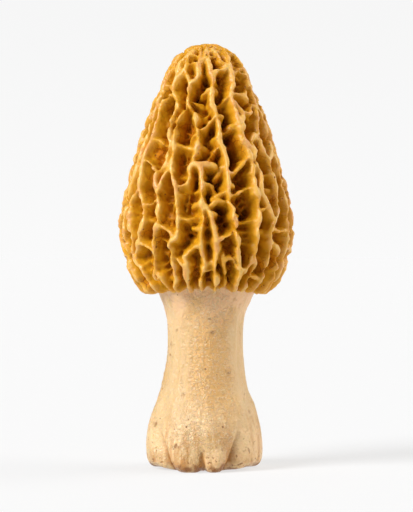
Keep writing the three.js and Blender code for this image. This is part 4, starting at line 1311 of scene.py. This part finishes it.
        mealy = self.mealy(tree, place)
        squeezed = tree.vector("MULTIPLY", place, CRUMB_SHAPE)
        grains = tree.centred(tree.noise(squeezed, self.crumb_grain, Distortion=0.6).outputs[0])
        stretched = tree.vector("MULTIPLY", place, self.pleat_stretch)
        pleats = tree.centred(tree.noise(stretched, self.pleat_grain, detail=1.0).outputs[0])
        grains = tree.math("MULTIPLY", tree.math("MULTIPLY", grains, given["Grain Height"]), mealy)
        bare = tree.math("MULTIPLY_ADD", mealy, self.pleat_hidden, 1.0)
        height = tree.add("ShaderNodeSeparateXYZ", {0: place}).outputs["Z"]
        shown = tree.ramp(height, *metres(self.pleat_heights), *self.pleat_share)
        bare = tree.math("MULTIPLY", bare, shown)
        pleats = tree.math("MULTIPLY", tree.math("MULTIPLY", pleats, given["Pleat Height"]), bare)
        stem = tree.math("MULTIPLY", tree.math("ADD", grains, pleats), tree.math("SUBTRACT", 1.0, on_cap))

        standing = tree.ramp(height, 0.0, self.still_height * MM)
        raised = tree.math("MULTIPLY", tree.math("MULTIPLY_ADD", cap, on_cap, stem), standing)
        moved = tree.vector("ADD", place, tree.scaled(normal, raised))
        moved = tree.vector("MAXIMUM", moved, (-1.0, -1.0, 0.0))
        tree.close(tree.add(
            "GeometryNodeSetPosition", {"Geometry": self.whole(tree, given["Geometry"]), "Position": moved}
        ).outputs[0])
        return tree

    def mealy(self, tree: ShapeTree, place: object) -> bpy.types.NodeSocket:
        """Marks the bands of the stem that are covered in crumbs; they run down it with bare skin between."""
        x, y, z = tree.add("ShaderNodeSeparateXYZ", {0: place}).outputs
        turn = tree.math("ARCTAN2", x, tree.math("MULTIPLY", y, -1.0))
        turn = tree.math("SUBTRACT", turn, math.radians(self.mealy_azimuth))
        wave = tree.math("COSINE", tree.math("MULTIPLY", turn, float(self.mealy_bands)))
        blurred = tree.centred(tree.noise(place, self.band_grain, detail=3.0).outputs[0])
        wave = tree.math("MULTIPLY_ADD", blurred, self.band_blur, wave)
        band = tree.ramp(wave, *self.band_edge)
        return tree.math("MULTIPLY", band, tree.ramp(z, *metres(self.band_heights)))

    def whole(self, tree: ShapeTree, geometry: bpy.types.NodeSocket) -> bpy.types.NodeSocket:
        """Keeps the mushroom itself and drops the loose crumbs that the weld leaves beside or inside it.

        Args:
            tree: The tree to work in.
            geometry: The welded skin.

        Returns:
            The largest connected part of the skin.
        """
        island = tree.add("GeometryNodeInputMeshIsland").outputs["Island Index"]
        points = tree.add(
            "GeometryNodeAccumulateField",
            {"Value": 1.0, "Group ID": island},
            data_type="FLOAT",
            domain="POINT",
        ).outputs["Total"]
        most = tree.add(
            "GeometryNodeAttributeStatistic", {"Geometry": geometry, "Attribute": points},
            data_type="FLOAT", domain="POINT",
        ).outputs["Max"]
        loose = tree.add(
            "FunctionNodeCompare", {"A": points, "B": most}, data_type="FLOAT", operation="LESS_THAN"
        ).outputs[0]
        return tree.add("GeometryNodeDeleteGeometry", {"Geometry": geometry, "Selection": loose}).outputs[0]

    def dressing(self, envelope: bpy.types.Object, skin: bpy.types.Material) -> ShapeTree:
        """Makes the tree that marks depth and place on the skin and gives it its material.

        Args:
            envelope: The turned body before its pits.
            skin: The material.

        Returns:
            The tree, to run on the thinned skin.
        """
        tree = ShapeTree("dressing", {
            "Envelope": envelope, "Skin": skin, "Full Depth": self.pit_depth * MM,
        })
        given = tree.given
        body = tree.geometry_of("Envelope")
        stem = tree.add(
            "FunctionNodeCompare",
            {"A": tree.attribute("on_cap"), "B": 0.5},
            data_type="FLOAT",
            operation="LESS_THAN",
        ).outputs[0]
        cap = tree.add("GeometryNodeDeleteGeometry", {"Geometry": body, "Selection": stem}).outputs[0]
        found = tree.add("GeometryNodeProximity", {"Geometry": cap}, target_element="FACES").outputs
        place = tree.add("GeometryNodeInputPosition").outputs[0]
        on_cap = self.belonging(tree, body, place)
        local = self.on_envelope(tree, body, "pit_depth")
        full = tree.math("MULTIPLY", given["Full Depth"], self.full_share)
        usual = tree.math("MULTIPLY_ADD", local, self.local_share, full)
        # This depth mark darkens the cap down its pits, partly as painted shade, and leaves a pale crest
        # line, partly as a painted highlight.
        sunk = tree.math("MULTIPLY", tree.math("DIVIDE", found["Distance"], usual), on_cap)
        mealy = self.mealy(tree, place)
        marks = {
            "pit": sunk, "on_cap": on_cap, "mealy": mealy, "crease": self.on_envelope(tree, body, "crease"),
        }
        geometry = given["Geometry"]
        for name, value in marks.items():
            geometry = tree.add(
                "GeometryNodeStoreNamedAttribute", {"Geometry": geometry, "Name": name, "Value": value}
            ).outputs[0]
        geometry = tree.add("GeometryNodeSetShadeSmooth", {"Geometry": geometry}).outputs[0]
        geometry = tree.add("GeometryNodeRealizeInstances", {"Geometry": geometry}).outputs[0]
        inputs = {"Geometry": geometry, "Material": given["Skin"]}
        tree.close(tree.add("GeometryNodeSetMaterial", inputs).outputs[0])
        return tree

    def build(self) -> bpy.types.Object:
        """Builds the mushroom.

        Returns:
            The finished piece.
        """
        cap = Outline(self.cap_knots, self.grid_step)
        stem = Outline(self.stem_knots, self.grid_step)
        chart = RibChart(cap, self.rim)
        lines = {kind: chart.network(kind) for kind in RibKind}
        body = self.turned_body(cap, stem)
        envelope = bpy.data.objects.new("envelope", body.data.copy())
        bpy.context.scene.collection.objects.link(envelope)

        self.relief(lines).run_on(body)
        weld = body.modifiers.new("weld", "REMESH")
        weld.mode = "VOXEL"
        weld.voxel_size = 1 * self.weld_size * MM
        settle = body.modifiers.new("settle", "SMOOTH")
        settle.factor = self.settle_share
        settle.iterations = self.settle_rounds
        self.wrinkles(envelope).run_on(body)
        skin = settled(body, "welded_skin")
        triangles = sum(len(face.vertices) - 2 for face in skin.data.polygons)
        log.info("welded skin: %d triangles", triangles)

        thin = skin.modifiers.new("thin", "DECIMATE")
        thin.ratio = min(1.0, self.triangles / triangles)
        thin.use_collapse_triangulate = True
        self.dressing(envelope, FleshFinish().material("morel_flesh")).run_on(skin)
        piece = settled(skin, "fruit_body")
        for helper in (envelope, *lines.values()):
            bpy.data.objects.remove(helper)
        log.info("fruit body: %d triangles", len(piece.data.polygons))
        return piece


@dataclass(frozen=True)
class SoftLight:
    """A broad, soft light far away: where it comes from, how strong and how wide it is."""

    name: str
    azimuth: float
    elevation: float
    strength: float
    spread: float
    colour: Colour = (1.0, 1.0, 1.0)


@dataclass
class Studio:
    """A plain pale studio: camera, soft lights, a floor and the air around."""

    camera_distance: float = 0.550
    camera_height: float = 0.050
    lens: float = 163.6
    backdrop: float = 0.925
    horizon: float = 0.955
    backdrop_rise: float = 0.10
    floor_glow: float = 0.70
    fill: float = 0.08
    floor_radius: float = 60.0
    floor_sides: int = 96
    floor_roughness: float = 0.9
    nearest: float = 0.01
    farthest: float = 240.0
    lights: tuple[SoftLight, ...] = (
        SoftLight("key", -52, 34, 3.9, 30),
        SoftLight("rim", 98, 24, 2.8, 70, (1.0, 0.93, 0.83)),
        SoftLight("top", 170, 70, 0.3, 50),
    )

    def floor_shade(self) -> Colour:
        """Gives the shade at which the floor, with its glow, meets the backdrop with no line between."""
        falling = np.zeros(3)
        for plan in self.lights:
            falling += plan.strength * math.sin(math.radians(plan.elevation)) * np.array(plan.colour)
        red, green, blue = self.horizon * (1 - self.floor_glow) / (falling / math.pi + self.fill)
        return float(red), float(green), float(blue)

    def camera(self) -> bpy.types.Object:
        """Sets up the camera, level with the middle of the mushroom."""
        made = bpy.data.objects.new("camera", bpy.data.cameras.new("camera"))
        made.data.lens = self.lens
        made.data.clip_start = self.nearest
        made.data.clip_end = self.farthest
        made.location = (0.0, -self.camera_distance, self.camera_height)
        made.rotation_euler = (math.radians(90), 0.0, 0.0)
        bpy.context.scene.collection.objects.link(made)
        bpy.context.scene.camera = made
        return made

    def light(self, plan: SoftLight) -> bpy.types.Object:
        """Hangs one soft light."""
        lamp = bpy.data.lights.new(plan.name, "SUN")
        lamp.energy = plan.strength
        lamp.angle = math.radians(plan.spread)
        lamp.color = plan.colour
        made = bpy.data.objects.new(plan.name, lamp)
        made.rotation_euler = (math.radians(90 - plan.elevation), 0.0, math.radians(plan.azimuth))
        bpy.context.scene.collection.objects.link(made)
        return made

    def floor(self) -> bpy.types.Object:
        """Lays the floor, a wide disc."""
        finish = bpy.data.materials.new("floor")
        finish.use_nodes = True
        shader = finish.node_tree.nodes["Principled BSDF"]
        shader.inputs["Base Color"].default_value = (*self.floor_shade(), 1.0)
        shader.inputs["Roughness"].default_value = self.floor_roughness
        shader.inputs["Specular IOR Level"].default_value = 0.0
        shader.inputs["Emission Color"].default_value = (1.0, 1.0, 1.0, 1.0)
        shader.inputs["Emission Strength"].default_value = self.horizon * self.floor_glow
        azimuth = np.arange(self.floor_sides) * 360.0 / self.floor_sides
        rim = around(azimuth, self.floor_radius / MM, np.zeros(self.floor_sides))
        made = mesh_object("floor", rim, [], [list(range(self.floor_sides))])
        made.data.materials.append(finish)
        return made

    def air(self) -> None:
        """Sets the even tone behind the mushroom and the weaker light it gives."""
        world = bpy.data.worlds.new("studio")
        world.use_nodes = True
        world.node_tree.nodes.clear()
        s = Sketch(world.node_tree)
        way = s.add("ShaderNodeTexCoord").outputs["Generated"]
        rise = s.add("ShaderNodeSeparateXYZ", {0: way}).outputs["Z"]
        tones = {0: rise, 1: 0.0, 2: self.backdrop_rise, 3: self.horizon, 4: self.backdrop}
        tone = s.add("ShaderNodeMapRange", tones).outputs[0]
        seen = s.add("ShaderNodeLightPath").outputs["Is Camera Ray"]
        strength = s.add("ShaderNodeMapRange", {0: seen, 3: self.fill, 4: tone}).outputs[0]
        inputs = {"Color": (1.0, 1.0, 1.0, 1.0), "Strength": strength}
        air = s.add("ShaderNodeBackground", inputs).outputs[0]
        s.add("ShaderNodeOutputWorld", {0: air})
        bpy.context.scene.world = world
        bpy.context.scene.view_settings.view_transform = "Standard"

    def build(self) -> bpy.types.Object:
        """Sets up the studio and returns its floor."""
        self.camera()
        for plan in self.lights:
            self.light(plan)
        self.air()
        return self.floor()


def main() -> None:
    """Builds the mushroom and the studio, fixes the piece to its body and hides the imported part."""
    logging.basicConfig(level=logging.INFO, format="%(name)s: %(message)s")
    Studio().build()
    piece = Morel().build()
    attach(piece, BODY)
    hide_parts(NODE)


if __name__ == "__main__":
    main()
